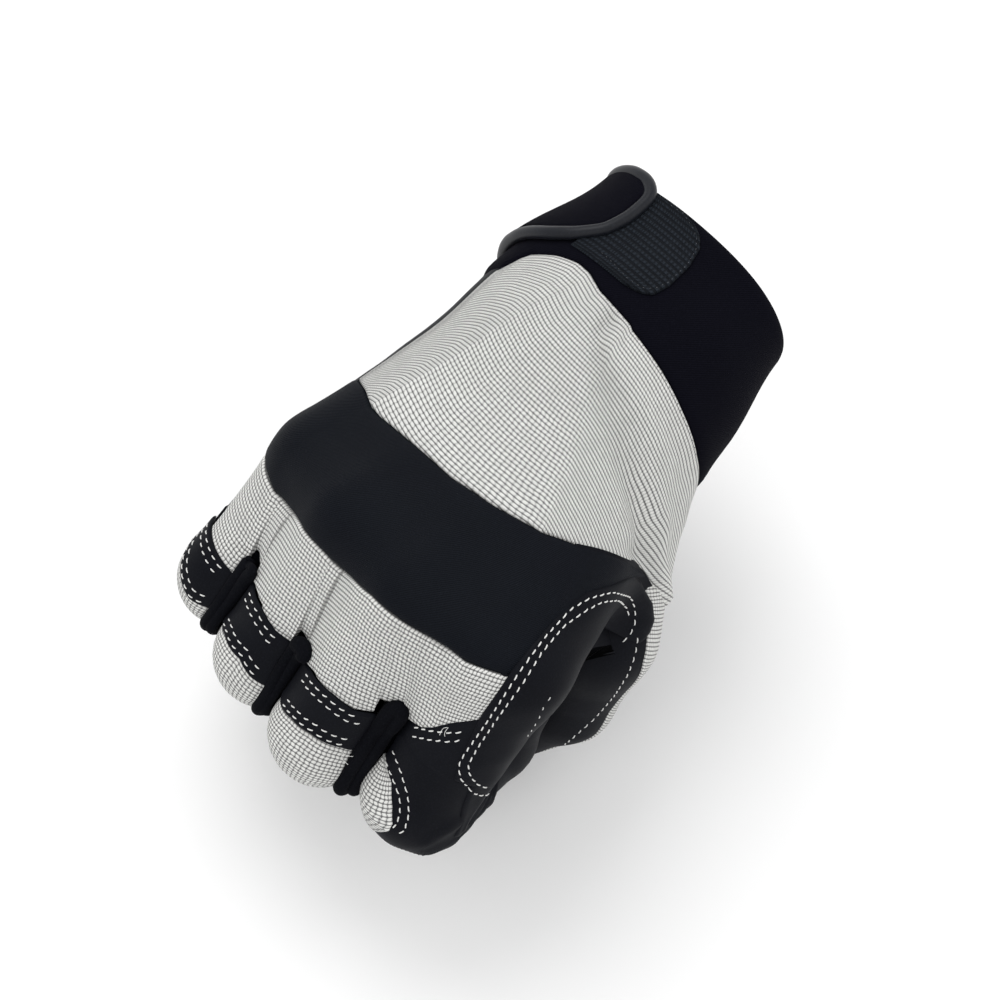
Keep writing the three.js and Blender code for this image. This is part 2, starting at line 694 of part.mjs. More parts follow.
// A closed skin over rings of points, with a point at each end.
function closedSkin(start, rings, end) {
  const positions = [...start];
  const faces = [];
  const count = rings[0].length;
  rings.forEach((ring) => ring.forEach((point) => positions.push(...point)));
  positions.push(...end);
  const last = positions.length / 3 - 1;
  for (let c = 0; c < count; c += 1) {
    const n = (c + 1) % count;
    faces.push(0, 1 + n, 1 + c, last, last - count + c, last - count + n);
    for (let r = 1; r < rings.length; r += 1) {
      const [low, high] = [1 + (r - 1) * count, 1 + r * count];
      faces.push(low + c, low + n, high + n, low + c, high + n, high + c);
    }
  }
  const geometry = new THREE.BufferGeometry();
  geometry.setAttribute('position', new THREE.Float32BufferAttribute(positions, 3));
  geometry.setIndex(faces);
  return facingOut(geometry);
}

// The room that a thumb or finger takes out of the hand pieces: its outer form and a gap.
function roomOf(skinOn, start, rows, angles, tip) {
  const clear = ({ point, out }) => point.addScaledVector(out, seamGap);
  const rings = rows.map((place) => angles.slice(0, -1).map((angle) => clear(skinOn(place, angle))));
  return solidOf(closedSkin(start, rings, clear(skinOn(tip, 0))));
}

// A piece sewn or laid on top of others, between two turns at each of its rows.
function laidPiece(table, cols, lift, wall) {
  const value = (row, key) => tableValue(table.map((entry) => entry[key]), row);
  return clothPiece({
    rows: table.length - 1, cols, round: false, covers: () => true,
    skin: (row, col) => {
      const turn = THREE.MathUtils.lerp(value(row, 'near'), value(row, 'far'), col / cols);
      const { point, out } = handSkin(value(row, 'place'), turn);
      return { point: point.addScaledVector(out, lift(turn, row)), out };
    },
    outer: wall, inner: 0,
  });
}

// Rows of the laid pieces: the place along the hand, and the turns where the piece begins and ends
// there. Their rounded corners are in the first and last rows.
const hookPatchRows = [
  { place: 0.06, near: hookPatchStart + 8, far: hookPatchEnd - 8 },
  { place: 0.12, near: hookPatchStart + 2, far: hookPatchEnd - 2 },
  { place: 0.25, near: hookPatchStart, far: hookPatchEnd },
  { place: 0.6, near: hookPatchStart, far: hookPatchEnd },
  { place: 0.74, near: hookPatchStart + 2, far: hookPatchEnd - 2 },
  { place: 0.8, near: hookPatchStart + 8, far: hookPatchEnd - 8 },
];
const strapRows = [
  { place: -0.02, near: strapRoot, far: strapReach - 30 },
  { place: 0.05, near: strapRoot, far: strapReach - 14 },
  { place: 0.16, near: strapRoot, far: strapReach - 4 },
  { place: 0.34, near: strapRoot, far: strapReach },
  { place: 0.52, near: strapRoot, far: strapReach },
  { place: 0.7, near: strapRoot, far: strapReach - 5 },
  { place: 0.8, near: strapRoot, far: strapReach - 14 },
  { place: 0.86, near: strapRoot, far: strapReach - 30 },
];
const saddleMiddle = (saddleNearEdge + saddleFarEdge) / 2;
const saddleHalf = (saddleFarEdge - saddleNearEdge) / 2;
const saddleRows = [
  { place: 1.62, middle: 21, half: 0.25, proud: 2 }, { place: 1.66, middle: 19, half: 0.7, proud: 2 },
  { place: 1.78, middle: 14, half: 1.05, proud: 2 }, { place: 1.95, middle: 8, half: 1.2, proud: 2 },
  { place: 2.25, middle: 3, half: 1.15, proud: 1.5 }, { place: 2.6, middle: 0, half: 1.05, proud: 1 },
  { place: 3, middle: 0, half: 1, proud: 0.5 }, { place: 3.5, middle: 0, half: 1, proud: 0 },
  { place: 4, middle: 0, half: 0.95, proud: 0 }, { place: 4.6, middle: 1, half: 0.8, proud: 0 },
  { place: 5.05, middle: 1, half: 0.6, proud: 0 }, { place: 5.15, middle: 1, half: 0.3, proud: 0 },
].map(({ place, middle, half, proud }) => ({
  place,
  near: saddleMiddle + middle - half * saddleHalf,
  far: saddleMiddle + middle + half * saddleHalf,
  proud,
}));
const saddleLift = (turn, row) => overlayLift + tableValue(saddleRows.map(({ proud }) => proud), row);

// The strap rises from the cuff onto the patch that it closes on.
const patchTop = overlayLift + overlayWall;
function strapLift(turn) {
  return overlayLift + (patchTop + seamGap + 0.1 - overlayLift) * THREE.MathUtils.smoothstep(turn, -12, 20);
}

// Rolled piping along the free edge of the strap. Its route keeps clear of that edge, given as
// the place along the cuff and the turn round it.
const pipingRows = [
  ...[-86, -64, -42, -20, 0].map((turn) => ({ place: -0.02, turn, ahead: -1 })),
  ...strapRows.map(({ place, far }, i) => {
    const before = strapRows[Math.max(0, i - 1)];
    const after = strapRows[Math.min(i + 1, strapRows.length - 1)];
    const run = (after.place - before.place) * cuffLength;
    const rise = radians(after.far - before.far) * openingHalfWidth;
    const length = Math.hypot(run, rise);
    return { place, turn: far, ahead: -rise / length, around: run / length };
  }),
  ...[0, -20, -42, -64, -86].map((turn) => ({ place: 0.86, turn, ahead: 1 })),
];

function piping() {
  const clear = pipingRadius + seamGap + 0.25;
  const route = pipingRows.map(({ place, turn, ahead = 0, around = 0 }) => {
    const outPlace = place + ahead * clear / cuffLength;
    const outTurn = turn + THREE.MathUtils.radToDeg(around * clear / openingHalfWidth);
    const { point, out } = handSkin(outPlace, outTurn);
    return point.addScaledVector(out, strapLift(turn) + pipingRadius - 0.2);
  });
  const curve = new THREE.CatmullRomCurve3(route);
  const section = new THREE.Shape();
  section.absarc(0, 0, pipingRadius, 0, 2 * Math.PI);
  return new THREE.ExtrudeGeometry(section, { extrudePath: curve, steps: 44, curveSegments: 4 });
}

const finishes = {
  greyFabric: { color: '#bdbdba', roughness: 0.85, metalness: 0 },
  blackLeather: { color: '#1b1d22', roughness: 0.7, metalness: 0 },
  neoprene: { color: '#14161c', roughness: 0.8, metalness: 0 },
  hookTape: { color: '#161a20', roughness: 0.95, metalness: 0 },
  glossPiping: { color: '#2b2e35', roughness: 0.35, metalness: 0 },
};
const materials = Object.fromEntries(Object.entries(finishes)
  .map(([name, values]) => [name, new THREE.MeshStandardMaterial(values)]));

const glove = new THREE.Group();
function add(name, geometry, finish) {
  const mesh = new THREE.Mesh(geometry, materials[finish]);
  mesh.name = name;
  glove.add(mesh);
}

const rooms = {
  thumb: roomOf(thumbSkin, thumbSection(thumbRows[0]).origin, thumbRows, thumbAngles, 6),
};
for (const name of order) {
  rooms[name] = roomOf((place, angle) => fingerSkin(name, place, angle),
    fingerSection(name, 4).origin, fingerRows, fingerAngles, 10);
}
function cutAround(geometry, names) {
  const cut = names.reduce((solid, name) => solid.subtract(rooms[name]), solidOf(geometry));
  const [largest] = cut.decompose().sort((a, b) => b.volume() - a.volume());
  return geometryOf(largest);
}

const inBack = (r, c) => r >= firstRow.back && r < firstRow.band && c < thumbEdgeColumns;
const inBand = (r, c) => r >= firstRow.band && r < firstRow.panel && c < backColumns + 1;
const bandPadded = (r, c) => (c < backColumns - 1 ? bandPadding : 0);
const inPanel = (r, c) => r >= firstRow.panel && c < backColumns;
const inPalm = (r, c) => r >= firstRow.back && !inBack(r, c) && !inBand(r, c) && !inPanel(r, c);

add('cuff_band', handPiece((r) => r < firstRow.back, neopreneWall), 'neoprene');
add('hook_patch', laidPiece(hookPatchRows, 8, () => overlayLift, overlayWall), 'hookTape');
add('closure_strap', laidPiece(strapRows, 24, strapLift, strapWall), 'neoprene');
add('strap_piping', piping(), 'glossPiping');
add('back_panel', cutAround(handPiece(inBack, fabricWall), ['thumb']), 'greyFabric');
add('knuckle_band', handPiece(inBand, neopreneWall, bandPadded), 'neoprene');
add('knuckle_panel', cutAround(handPiece(inPanel, fabricWall), order), 'greyFabric');
add('palm_panel', cutAround(handPiece(inPalm, leatherWall), ['thumb', ...order]), 'blackLeather');
add('saddle_patch', cutAround(laidPiece(saddleRows, 5, saddleLift, overlayWall), ['thumb']),
  'blackLeather');

for (const name of ['little', 'ring', 'middle']) {
  add(`finger_band_${name}`,
    fingerPiece(name, (r, c) => r < bandRows[name] && isBack(c), leatherWall), 'blackLeather');
  const isFingerBack = (r, c) => r >= bandRows[name] && r < tipRow && isBack(c);
  add(`finger_back_${name}`, fingerPiece(name, isFingerBack, fabricWall), 'greyFabric');
}
const isTeardrop = (r, c) => r >= bandRows.index && r < tipRow && c < 2;
add('finger_back_index', fingerPiece('index', isTeardrop, fabricWall), 'greyFabric');
add('index_wrap', fingerPiece('index',
  (r, c) => r < tipRow && !isTeardrop(r, c) && (isBack(c) || isThumbSide(c)), leatherWall),
'blackLeather');
add('little_side', fingerPiece('little', (r, c) => r < tipRow && isLittleSide(c), leatherWall),
  'blackLeather');
for (const name of order) {
  add(`finger_palm_${name}`,
    fingerPiece(name, (r, c) => r >= tipRow || isPalm(c), leatherWall, true), 'blackLeather');
}
for (let i = 0; i + 1 < order.length; i += 1) {
  const [nearLittle, nearThumb] = [order[i], order[i + 1]];
  add(`fourchette_${nearLittle}_${nearThumb}`, fourchette(nearThumb, nearLittle), 'blackLeather');
}

const isThumbBack = (r, c) => r < thumbTipRow && c < 3;
add('thumb_back', thumbPiece(isThumbBack, fabricWall), 'greyFabric');
add('thumb_palm', thumbPiece((r, c) => !isThumbBack(r, c), leatherWall, true), 'blackLeather');

export default glove;
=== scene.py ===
import math

import bpy
import numpy as np
from mathutils import Matrix, Vector
from mathutils.bvhtree import BVHTree


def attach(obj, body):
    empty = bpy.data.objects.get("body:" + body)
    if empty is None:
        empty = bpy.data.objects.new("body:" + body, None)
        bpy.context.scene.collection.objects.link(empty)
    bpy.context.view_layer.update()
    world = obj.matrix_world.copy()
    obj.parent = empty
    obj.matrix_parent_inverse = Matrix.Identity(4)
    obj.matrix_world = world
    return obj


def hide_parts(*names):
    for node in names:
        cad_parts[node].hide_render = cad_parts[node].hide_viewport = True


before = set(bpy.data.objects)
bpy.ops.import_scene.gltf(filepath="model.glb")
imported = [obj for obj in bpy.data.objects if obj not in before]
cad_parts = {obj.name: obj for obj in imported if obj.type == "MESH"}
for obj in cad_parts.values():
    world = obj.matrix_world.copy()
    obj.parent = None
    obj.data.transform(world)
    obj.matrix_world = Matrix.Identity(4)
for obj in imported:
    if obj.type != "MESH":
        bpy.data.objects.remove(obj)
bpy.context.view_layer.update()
print("stage: the packed model is loaded,", len(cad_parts), "nodes")

# The hand inside the glove, in millimetres: the same sizes as the solids are made from.
hand = {
    "cuffLength": 34.0, "openingHalfWidth": 30.0, "openingHalfHeight": 22.0,
    "wristHalfWidth": 32.0, "wristHalfHeight": 22.5, "handLength": 76.0, "palmWidth": 71.0,
    "fingerLength": 92.0, "knuckleRadius": 15.0, "thumbRadius": 13.0,
    "turnToThumb": 4.0, "liftOfHand": 8.0, "fingerGap": 0.5, "creaseGap": 1.0,
}
fingerRows = {
    "little": {"ahead": 0.8, "across": -0.479, "below": 1.27, "lean": 12.5, "aim": (41, 144, 214),
               "bones": (0.44, 0.261, 0.13), "knuckle": 0.87, "radii": (0.47, 0.44, 0.405), "split": 0.635},
    "ring": {"ahead": 0.92, "across": -0.169, "below": 0.8, "lean": 9, "aim": (50, 156, 230),
             "bones": (0.5, 0.293, 0.152), "knuckle": 0.97, "radii": (0.515, 0.48, 0.435), "split": 0.62},
    "middle": {"ahead": 1.0, "across": 0.169, "below": 0.6, "lean": 7, "aim": (55, 162, 236),
               "bones": (0.533, 0.304, 0.163), "knuckle": 1.0, "radii": (0.54, 0.495, 0.45), "split": 0.62},
    "index": {"ahead": 0.96, "across": 0.521, "below": 0.87, "lean": 3, "aim": (56, 164, 248),
              "bones": (0.511, 0.315, 0.152), "knuckle": 1.0, "radii": (0.545, 0.47, 0.445), "split": 0.6},
}
thumbRows = (
    {"ahead": 0.263, "across": 0.366, "below": 0.239, "radius": 1.38},
    {"ahead": 0.513, "across": 0.563, "below": 0.446, "radius": 1.15},
    {"ahead": 0.605, "across": 0.535, "below": 0.717, "radius": 1.0},
    {"ahead": 0.829, "across": 0.282, "below": 0.957, "radius": 0.92},
)
fingerNames = list(fingerRows)
fingerPitch = hand["palmWidth"] / 3


def unit(v):
    return v / np.maximum(np.linalg.norm(v, axis=-1, keepdims=True), 1e-9)


def smoothStep(x, low, high):
    t = np.clip((x - low) / (high - low), 0, 1)
    return t * t * (3 - 2 * t)


def dot(a, b):
    return (a * b).sum(-1)


def handMatrix():
    a, b = math.radians(hand["turnToThumb"]), math.radians(-hand["liftOfHand"])
    turn = np.array([[math.cos(a), -math.sin(a), 0], [math.sin(a), math.cos(a), 0], [0, 0, 1]])
    lift = np.array([[math.cos(b), 0, math.sin(b)], [0, 1, 0], [-math.sin(b), 0, math.cos(b)]])
    return turn @ lift


handAxes = handMatrix()


def fromHand(ahead, across, up):
    return handAxes @ np.array([ahead, across, up], float) + np.array([hand["cuffLength"], -1.0, -1.0])


def fingerChain(row):
    place = np.array([row["ahead"] * hand["handLength"], row["across"] * hand["palmWidth"],
                      -row["below"] * hand["knuckleRadius"]])
    points = [fromHand(-2, place[1] * 0.42 + 1, -2), fromHand(*place)]
    lean = math.radians(row["lean"])
    for share, aim in zip(row["bones"], row["aim"]):
        length, a = share * hand["fingerLength"], math.radians(aim)
        place = place + length * np.array([math.cos(a), -math.sin(a) * math.sin(lean),
                                           -math.sin(a) * math.cos(lean)])
        points.append(fromHand(*place))
    radii = [1.3 * hand["knuckleRadius"], row["knuckle"] * hand["knuckleRadius"]]
    radii += [share * fingerPitch for share in row["radii"]]
    side = handAxes @ np.array([0, math.cos(lean), -math.sin(lean)])
    return {"points": np.array(points), "radii": radii, "side": side, "split": row["split"]}


chains = {name: fingerChain(row) for name, row in fingerRows.items()}
thumb = {
    "points": np.array([fromHand(r["ahead"] * hand["handLength"], r["across"] * hand["palmWidth"],
                                 -r["below"] * hand["fingerLength"]) for r in thumbRows]),
    "radii": [r["radius"] * hand["thumbRadius"] for r in thumbRows],
}


# Distance to a bone whose radius changes along it.
def bone(p, a, b, ra, rb):
    along = b - a
    t = np.clip(((p - a) @ along) / (along @ along), 0, 1)
    return np.linalg.norm(p - a - t[..., None] * along, axis=-1) - (ra + t * (rb - ra))


# Two shapes joined with a soft fold of the given width between them.
def join(a, b, width):
    h = np.clip(0.5 + 0.5 * (b - a) / width, 0, 1)
    return b * (1 - h) + a * h - width * h * (1 - h)


def cutSoftly(a, b, width):
    return -join(-a, -b, width)


# How softly the parts of the hand run into each other, in millimetres.
softness = {"finger": 3, "palm": 14, "cuff": 12, "wrist": 16, "knuckle": 5, "thumbRoot": 12, "press": 1.5}


def bonesField(p, chain, first):
    d = None
    for i in range(first, len(chain["points"]) - 1):
        part = bone(p, *chain["points"][i:i + 2], *chain["radii"][i:i + 2])
        d = part if d is None else join(d, part, softness["finger"])
    return d


def palmField(p):
    d = None
    for chain in chains.values():
        part = bone(p, *chain["points"][:2], *chain["radii"][:2])
        d = part if d is None else join(d, part, softness["palm"])
    return d


openingSpread = hand["openingHalfWidth"] - hand["openingHalfHeight"]
wristSpread = hand["wristHalfWidth"] - hand["wristHalfHeight"]


def cuffField(p):
    halves = [bone(p, np.array([-6.0, k * (openingSpread + 1), 0]),
                   np.array([hand["cuffLength"], k * wristSpread + 2, 0]),
                   hand["openingHalfHeight"] - 1, hand["wristHalfHeight"] - 1) for k in (-1, 1)]
    return join(*halves, softness["cuff"])


def bodyField(p):
    d = palmField(p)
    for chain in chains.values():
        d = join(d, bone(p, *chain["points"][1:3], *chain["radii"][1:3]), softness["knuckle"])
    d = join(d, cuffField(p), softness["wrist"])
    root = thumb["points"][0]
    end = thumb["points"][1] * 0.8 + root * 0.2
    return join(d, bone(p, root, end, thumb["radii"][0], thumb["radii"][0] - 2), softness["thumbRoot"])


def trunkField(p):
    d = palmField(p)
    for chain in chains.values():
        share, (a, b) = chain["split"], chain["points"][1:3]
        radius = chain["radii"][1] * (1 - share) + chain["radii"][2] * share
        d = join(d, bone(p, a, a + share * (b - a), chain["radii"][1], radius), softness["knuckle"])
    return d


# Neighbouring fingers press flat on each other and on the palm, and the curled part of a finger
# presses flat on its own first part.
def fingerField(name, places):
    number = fingerNames.index(name)
    beside = [fingerNames[k] for k in (number - 1, number + 1) if 0 <= k < len(fingerNames)]
    points, radii = chains[name]["points"], chains[name]["radii"]
    curled = (places > 5.99)[:, None]
    inJoint = ((places > 5.01) & (places < 5.99))[:, None]

    def field(p):
        own = bonesField(p, chains[name], 1)
        d = own
        for other in beside:
            d = cutSoftly(d, (own - bonesField(p, chains[other], 1) + hand["fingerGap"]) / 2, softness["press"])
        first = bone(p, points[1], points[2], radii[1], radii[2])
        rest = bonesField(p, chains[name], 2)
        facing = np.where(curled, rest - first, first - rest)
        folded = cutSoftly(d, (facing + hand["fingerGap"]) / 2, softness["press"])
        d = np.where(inJoint, d, folded)
        closedOn = np.where(curled, trunkField(p), palmField(p))
        return cutSoftly(d, hand["fingerGap"] - closedOn, 1)
    return field


def thumbField(p):
    pressed = np.minimum(bonesField(p, chains["index"], 1), bonesField(p, chains["middle"], 1))
    return cutSoftly(bonesField(p, thumb, 0), hand["fingerGap"] - pressed, 1)


# The first point on each ray where it leaves the skin, or where it nears a joint's crease.
def cast(field, origin, direction, furthest, steps=34):
    t = np.ones(origin.shape[:-1])
    for step in range(steps):
        depth = -field(origin + t[..., None] * direction)
        t = np.where(depth > 0.005, t + np.maximum(0.92 * depth, 0.01), t)
    return origin + np.minimum(t, furthest)[..., None] * direction


def jointFan(chain, k, spread):
    points, radii = chain["points"], chain["radii"]
    before, after = unit(points[k] - points[k - 1]), unit(points[k + 1] - points[k])
    half = (math.pi - math.acos(before @ after)) / 2
    reach = spread * radii[k] / math.tan(half)
    pivot = unit(after - before) * reach / math.cos(half) + points[k]
    return {"before": before, "after": after, "pivot": pivot, "start": points[k] - before * reach,
            "end": points[k] + after * reach, "joint": points[k]}


def turned(v, axis, angle):
    aside, kept = np.cross(axis, v) * math.sin(angle), axis * (axis @ v) * (1 - math.cos(angle))
    return v * math.cos(angle) + aside + kept


def fanSection(fan, share):
    axis = unit(np.cross(fan["before"], fan["after"]))
    a, b = unit(fan["pivot"] - fan["start"]), unit(fan["pivot"] - fan["end"])
    inward = turned(a, axis, share * math.acos(np.clip(a @ b, -1, 1)))
    along = unit(np.cross(axis, inward))
    base, direction = (fan["start"], fan["before"]) if share <= 0.5 else (fan["joint"], fan["after"])
    origin = base + direction * ((fan["pivot"] - base) @ along) / (direction @ along)
    if along @ fan["before"] + along @ fan["after"] < 0:
        along = -along
    crease = np.linalg.norm(fan["pivot"] - origin) - hand["creaseGap"]
    return origin, along, 0.0, inward, crease


def straight(a, b, share, along):
    return a + (b - a) * share, along, 0.0, along, 1e6


fanSpread = {"finger": (1.3, 1, 1), "thumb": (1.6, 1.8)}
fans = {name: [jointFan(chain, k + 1, spread) for k, spread in enumerate(fanSpread["finger"])]
        for name, chain in chains.items()}
fans["thumb"] = [jointFan(thumb, k + 1, spread) for k, spread in enumerate(fanSpread["thumb"])]


# The legs of a finger: 2 to 3 round the knuckle, 3 to 4 to the split between fingers, 5 to 6 round
# the middle joint, 7 to 8 round the end joint and 9 to 10 the tip.
def fingerSection(name, place):
    points, split = chains[name]["points"], chains[name]["split"]
    knuckle, middle, end = fans[name]
    leg = min(int(math.floor(place)), 9)
    share = place - leg
    parting = points[1] + split * (points[2] - points[1])
    if leg == 2:
        return fanSection(knuckle, share)
    if leg == 3:
        return straight(knuckle["end"], parting, share, knuckle["after"])
    if leg == 4:
        return straight(parting, middle["start"], share, middle["before"])
    if leg == 5:
        return fanSection(middle, share)
    if leg == 6:
        return straight(middle["end"], end["start"], share, end["before"])
    if leg == 7:
        return fanSection(end, share)
    if leg == 8:
        return straight(end["end"], points[4], share, end["after"])
    return points[4], end["after"], share * math.pi / 2, end["after"], 1e6


def thumbSection(place):
    points = thumb["points"]
    first, second = fans["thumb"]
    leg = min(int(math.floor(place)), 5)
    share = place - leg
    if leg == 0:
        return straight(points[0], first["start"], share, first["before"])
    if leg == 1:
        return fanSection(first, share)
    if leg == 2:
        return straight(first["end"], second["start"], share, first["after"])
    if leg == 3:
        return fanSection(second, share)
    if leg == 4:
        return straight(second["end"], points[3], share, second["after"])
    return points[3], second["after"], share * math.pi / 2, second["after"], 1e6


# Rays of one section: 0 degrees is the back of the finger, 90 the side towards the thumb.
def sectionRays(section, side, angles):
    origin, along, cap, inward, crease = section
    across = unit(side - along * (side @ along))
    back = unit(np.cross(along, across))
    a = np.radians(angles)[:, None]
    direction = (back * np.cos(a) + across * np.sin(a)) * math.cos(cap) + along * math.sin(cap)
    towards = direction @ inward
    furthest = np.where(towards > 0.05, crease / np.maximum(towards, 0.05), 1e6)
    return np.broadcast_to(origin, direction.shape), direction, furthest


def edgeSection(name, place):
    k = -1 if name == "little" else 1
    opening = np.array([0.0, k * openingSpread, 0])
    wrist = np.array([hand["cuffLength"], k * wristSpread + 1, 0])
    forward = np.array([1.0, 0, 0])
    if place < 1:
        return straight(opening, wrist, place, forward)
    if place >= 2:
        return fingerSection(name, place)
    fan = fans[name][0]
    ease = smoothStep(place, 1, 2)
    return straight(wrist, fan["start"], place - 1, unit(forward * (1 - ease) + fan["before"] * ease))


# Rays round the hand: 0 degrees is its little-finger edge, 90 the back, 180 the thumb edge.
def handRays(place, turns):
    low, high = edgeSection("little", place), edgeSection("index", place)
    across = unit(high[0] - low[0])
    backs = [unit(np.cross(section[1], across)) for section in (low, high)]
    outs = [np.cross(back, section[1]) * k for back, section, k in zip(backs, (low, high), (-1, 1))]
    outs = [out if out @ across * k > 0 else -out for out, k in zip(outs, (-1, 1))]
    w = np.where(np.asarray(turns, float) % 360 >= 315, turns % 360 - 360, turns % 360)[:, None]
    share = np.where(w < 135, (w - 45) / 90, (315 - w) / 90)
    middle = unit(backs[0] + (backs[1] - backs[0]) * share) * np.where(w < 135, 1, -1)
    origin = low[0] + (high[0] - low[0]) * share
    a, b = np.radians(2 * w), np.radians(2 * (180 - w))
    lowEdge, highEdge = w < 45, (w >= 135) & (w < 225)
    direction = np.where(lowEdge, outs[0] * np.cos(a) + backs[0] * np.sin(a),
                         np.where(highEdge, outs[1] * np.cos(b) + backs[1] * np.sin(b), middle))
    origin = np.where(lowEdge, low[0], np.where(highEdge, high[0], origin))
    return origin, direction, np.full(len(origin), 1e6)


def castRows(rayRows, field):
    origins, directions, furthest = (np.array([row[k] for row in rayRows]) for k in range(3))
    return cast(field, origins, directions, furthest)


# A skin that can be read at any place and angle, smoothly between the rays it was cast on.
class Skin:
    def __init__(self, places, angles, points, wraps):
        self.places, self.angles, self.points, self.wraps = places, angles, points, wraps
        alongStep = np.gradient(points, axis=0)
        if wraps:
            aroundStep = (np.roll(points, -1, 1) - np.roll(points, 1, 1)) / 2
        else:
            aroundStep = np.gradient(points, axis=1)
        normals = unit(np.cross(aroundStep, alongStep))
        middle = points.mean(axis=1, keepdims=True)
        if (dot(normals, points - middle)).mean() < 0:
            normals = -normals
        self.normals = normals
        steps = np.linalg.norm(np.diff(points, axis=0), axis=-1)
        self.along = np.concatenate([np.zeros((1, points.shape[1])), np.cumsum(steps, axis=0)])

    def read(self, table, place, angle):
        place, angle = np.broadcast_arrays(np.asarray(place, float), np.asarray(angle, float))
        r = np.clip(np.interp(place, self.places, np.arange(len(self.places))), 0, len(self.places) - 1.0001)
        step = self.angles[1] - self.angles[0]
        c = (angle - self.angles[0]) / step
        count = len(self.angles)
        if self.wraps:
            c = c % count
        else:
            c = np.clip(c, 0, count - 1.0001)
        r0, c0 = r.astype(int), np.floor(c).astype(int)
        fr, fc = r - r0, c - c0
        c0 = c0 % count
        c1 = (c0 + 1) % count
        if table.ndim == 3:
            fr, fc = fr[..., None], fc[..., None]
        top = table[r0, c0] * (1 - fc) + table[r0, c1] * fc
        low = table[r0 + 1, c0] * (1 - fc) + table[r0 + 1, c1] * fc
        return top * (1 - fr) + low * fr

    def point(self, place, angle):
        return self.read(self.points, place, angle)

    def normal(self, place, angle):
        return unit(self.read(self.normals, place, angle))


def fingerSkin(name, fine):
    places = np.concatenate([np.linspace(3.6, 5, 15 * fine)[:-1], np.linspace(5, 6, 15 * fine)[:-1],
                             np.linspace(6, 10, 20 * fine)])
    angles = np.arange(0, 360, 6 / fine)
    rows = [sectionRays(fingerSection(name, p), chains[name]["side"], angles) for p in places]
    return Skin(places, angles, castRows(rows, fingerField(name, places)), True)


def thumbSkin(fine):
    places = np.linspace(0.6, 6, 54 * fine)
    angles = np.arange(0, 360, 6 / fine)
    side = np.array([-0.72, 0.29, -0.54])
    rows = [sectionRays(thumbSection(p), side, angles) for p in places]
    return Skin(places, angles, castRows(rows, thumbField), True)


# Where the columns of each finger lie round the hand: finger, angle on it, turn round the hand.
fingerSpans = (
    ("little", ((-45, 22.5), (-15, 37.5), (15, 49), (30, 53))),
    ("ring", ((-72, 56), (-45, 61.5), (-15, 69.5), (15, 77.5), (32, 83))),
    ("middle", ((-72, 86), (-45, 91.5), (-15, 99.5), (15, 107.5), (45, 115), (56, 117))),
    ("index", ((-56, 120.5), (-45, 123), (-15, 131), (15, 142.5), (45, 157.5), (75, 172.5), (105, 187.5),
               (135, 202.5), (165, 217.5), (195, 229), (225, 237))),
    ("middle", ((135, 245), (165, 252.5), (195, 260.5), (225, 268.5))),
    ("ring", ((135, 275), (165, 282.5), (195, 290.5), (225, 298.5))),
    ("little", ((135, 303), (165, 311), (195, 322.5), (225, 337.5), (255, 352.5), (285, 367.5),
                (315, 382.5))),
)


def onFinger(name, turn):
    for finger, rows in fingerSpans:
        turns = [row[1] for row in rows]
        for t in (turn, turn + 360):
            if finger == name and turns[0] <= t <= turns[-1]:
                return float(np.interp(t, turns, [row[0] for row in rows]))
    return None


# The hand's skin runs on over the fingers as far as place 5, so that the knuckle panel can end on
# them: past the split each turn follows its finger, and a valley lies straight between two fingers.
def handSkin(fine, fingerSkins):
    places = np.concatenate([np.linspace(-0.06, 3, 46 * fine)[:-1], np.linspace(3, 4, 15 * fine)])
    turns = np.arange(0, 360, 3 / fine)
    rows = [handRays(p, turns) for p in places]
    points = castRows(rows, bodyField)
    ahead = np.linspace(4, 5.3, 20 * fine)
    far = np.full((len(ahead), len(turns), 3), np.nan)
    for c, turn in enumerate(turns):
        for finger in fingerNames:
            angle = onFinger(finger, turn)
            if angle is not None:
                far[:, c] = fingerSkins[finger].point(ahead, angle)
    known = np.flatnonzero(~np.isnan(far[0, :, 0]))
    unknown = np.flatnonzero(np.isnan(far[0, :, 0]))
    for c in unknown:
        low = known[known < c].max() if (known < c).any() else known.max() - len(turns)
        high = known[known > c].min() if (known > c).any() else known.min() + len(turns)
        share = (c - low) / (high - low)
        far[:, c] = far[:, low % len(turns)] * (1 - share) + far[:, high % len(turns)] * share
    shift = far[0] - points[-1]
    ease = (np.clip(places - 3, 0, 1) ** 1.5)[:, None, None]
    points = np.concatenate([(points + ease * shift)[:-1], far])
    return Skin(np.concatenate([places[:-1], ahead]), turns, points, True)


# The surfaces that the cloth lies on.
skins = {name: fingerSkin(name, 2) for name in fingerNames}
handCover = handSkin(2, skins)
thumbCover = thumbSkin(2)
print("stage: the skins of the hand, the fingers and the thumb are ready")


# The turns round the hand of the index finger's columns run on over its own skin past place 5.
def indexOverHand():
    spans = [(a, t) for finger, rows in fingerSpans if finger == "index" for a, t in rows]
    angles = np.arange(-48, 196, 3.0)
    turns = np.interp(angles, [a for a, _ in spans], [t for _, t in spans])
    near = np.linspace(2, 5, 60)[:-1]
    far = skins["index"].places[skins["index"].places >= 5]
    points = np.concatenate([handCover.point(near[:, None], turns[None, :]),
                             skins["index"].point(far[:, None], angles[None, :])])
    return Skin(np.concatenate([near, far]), angles, points, False)


indexCover = indexOverHand()


def indexAngle(turn):
    spans = [(a, t) for finger, rows in fingerSpans if finger == "index" for a, t in rows]
    return np.interp(turn, [t for _, t in spans], [a for a, _ in spans])


def table(rows, x):
    return np.interp(x, [row[0] for row in rows], [row[1] for row in rows])


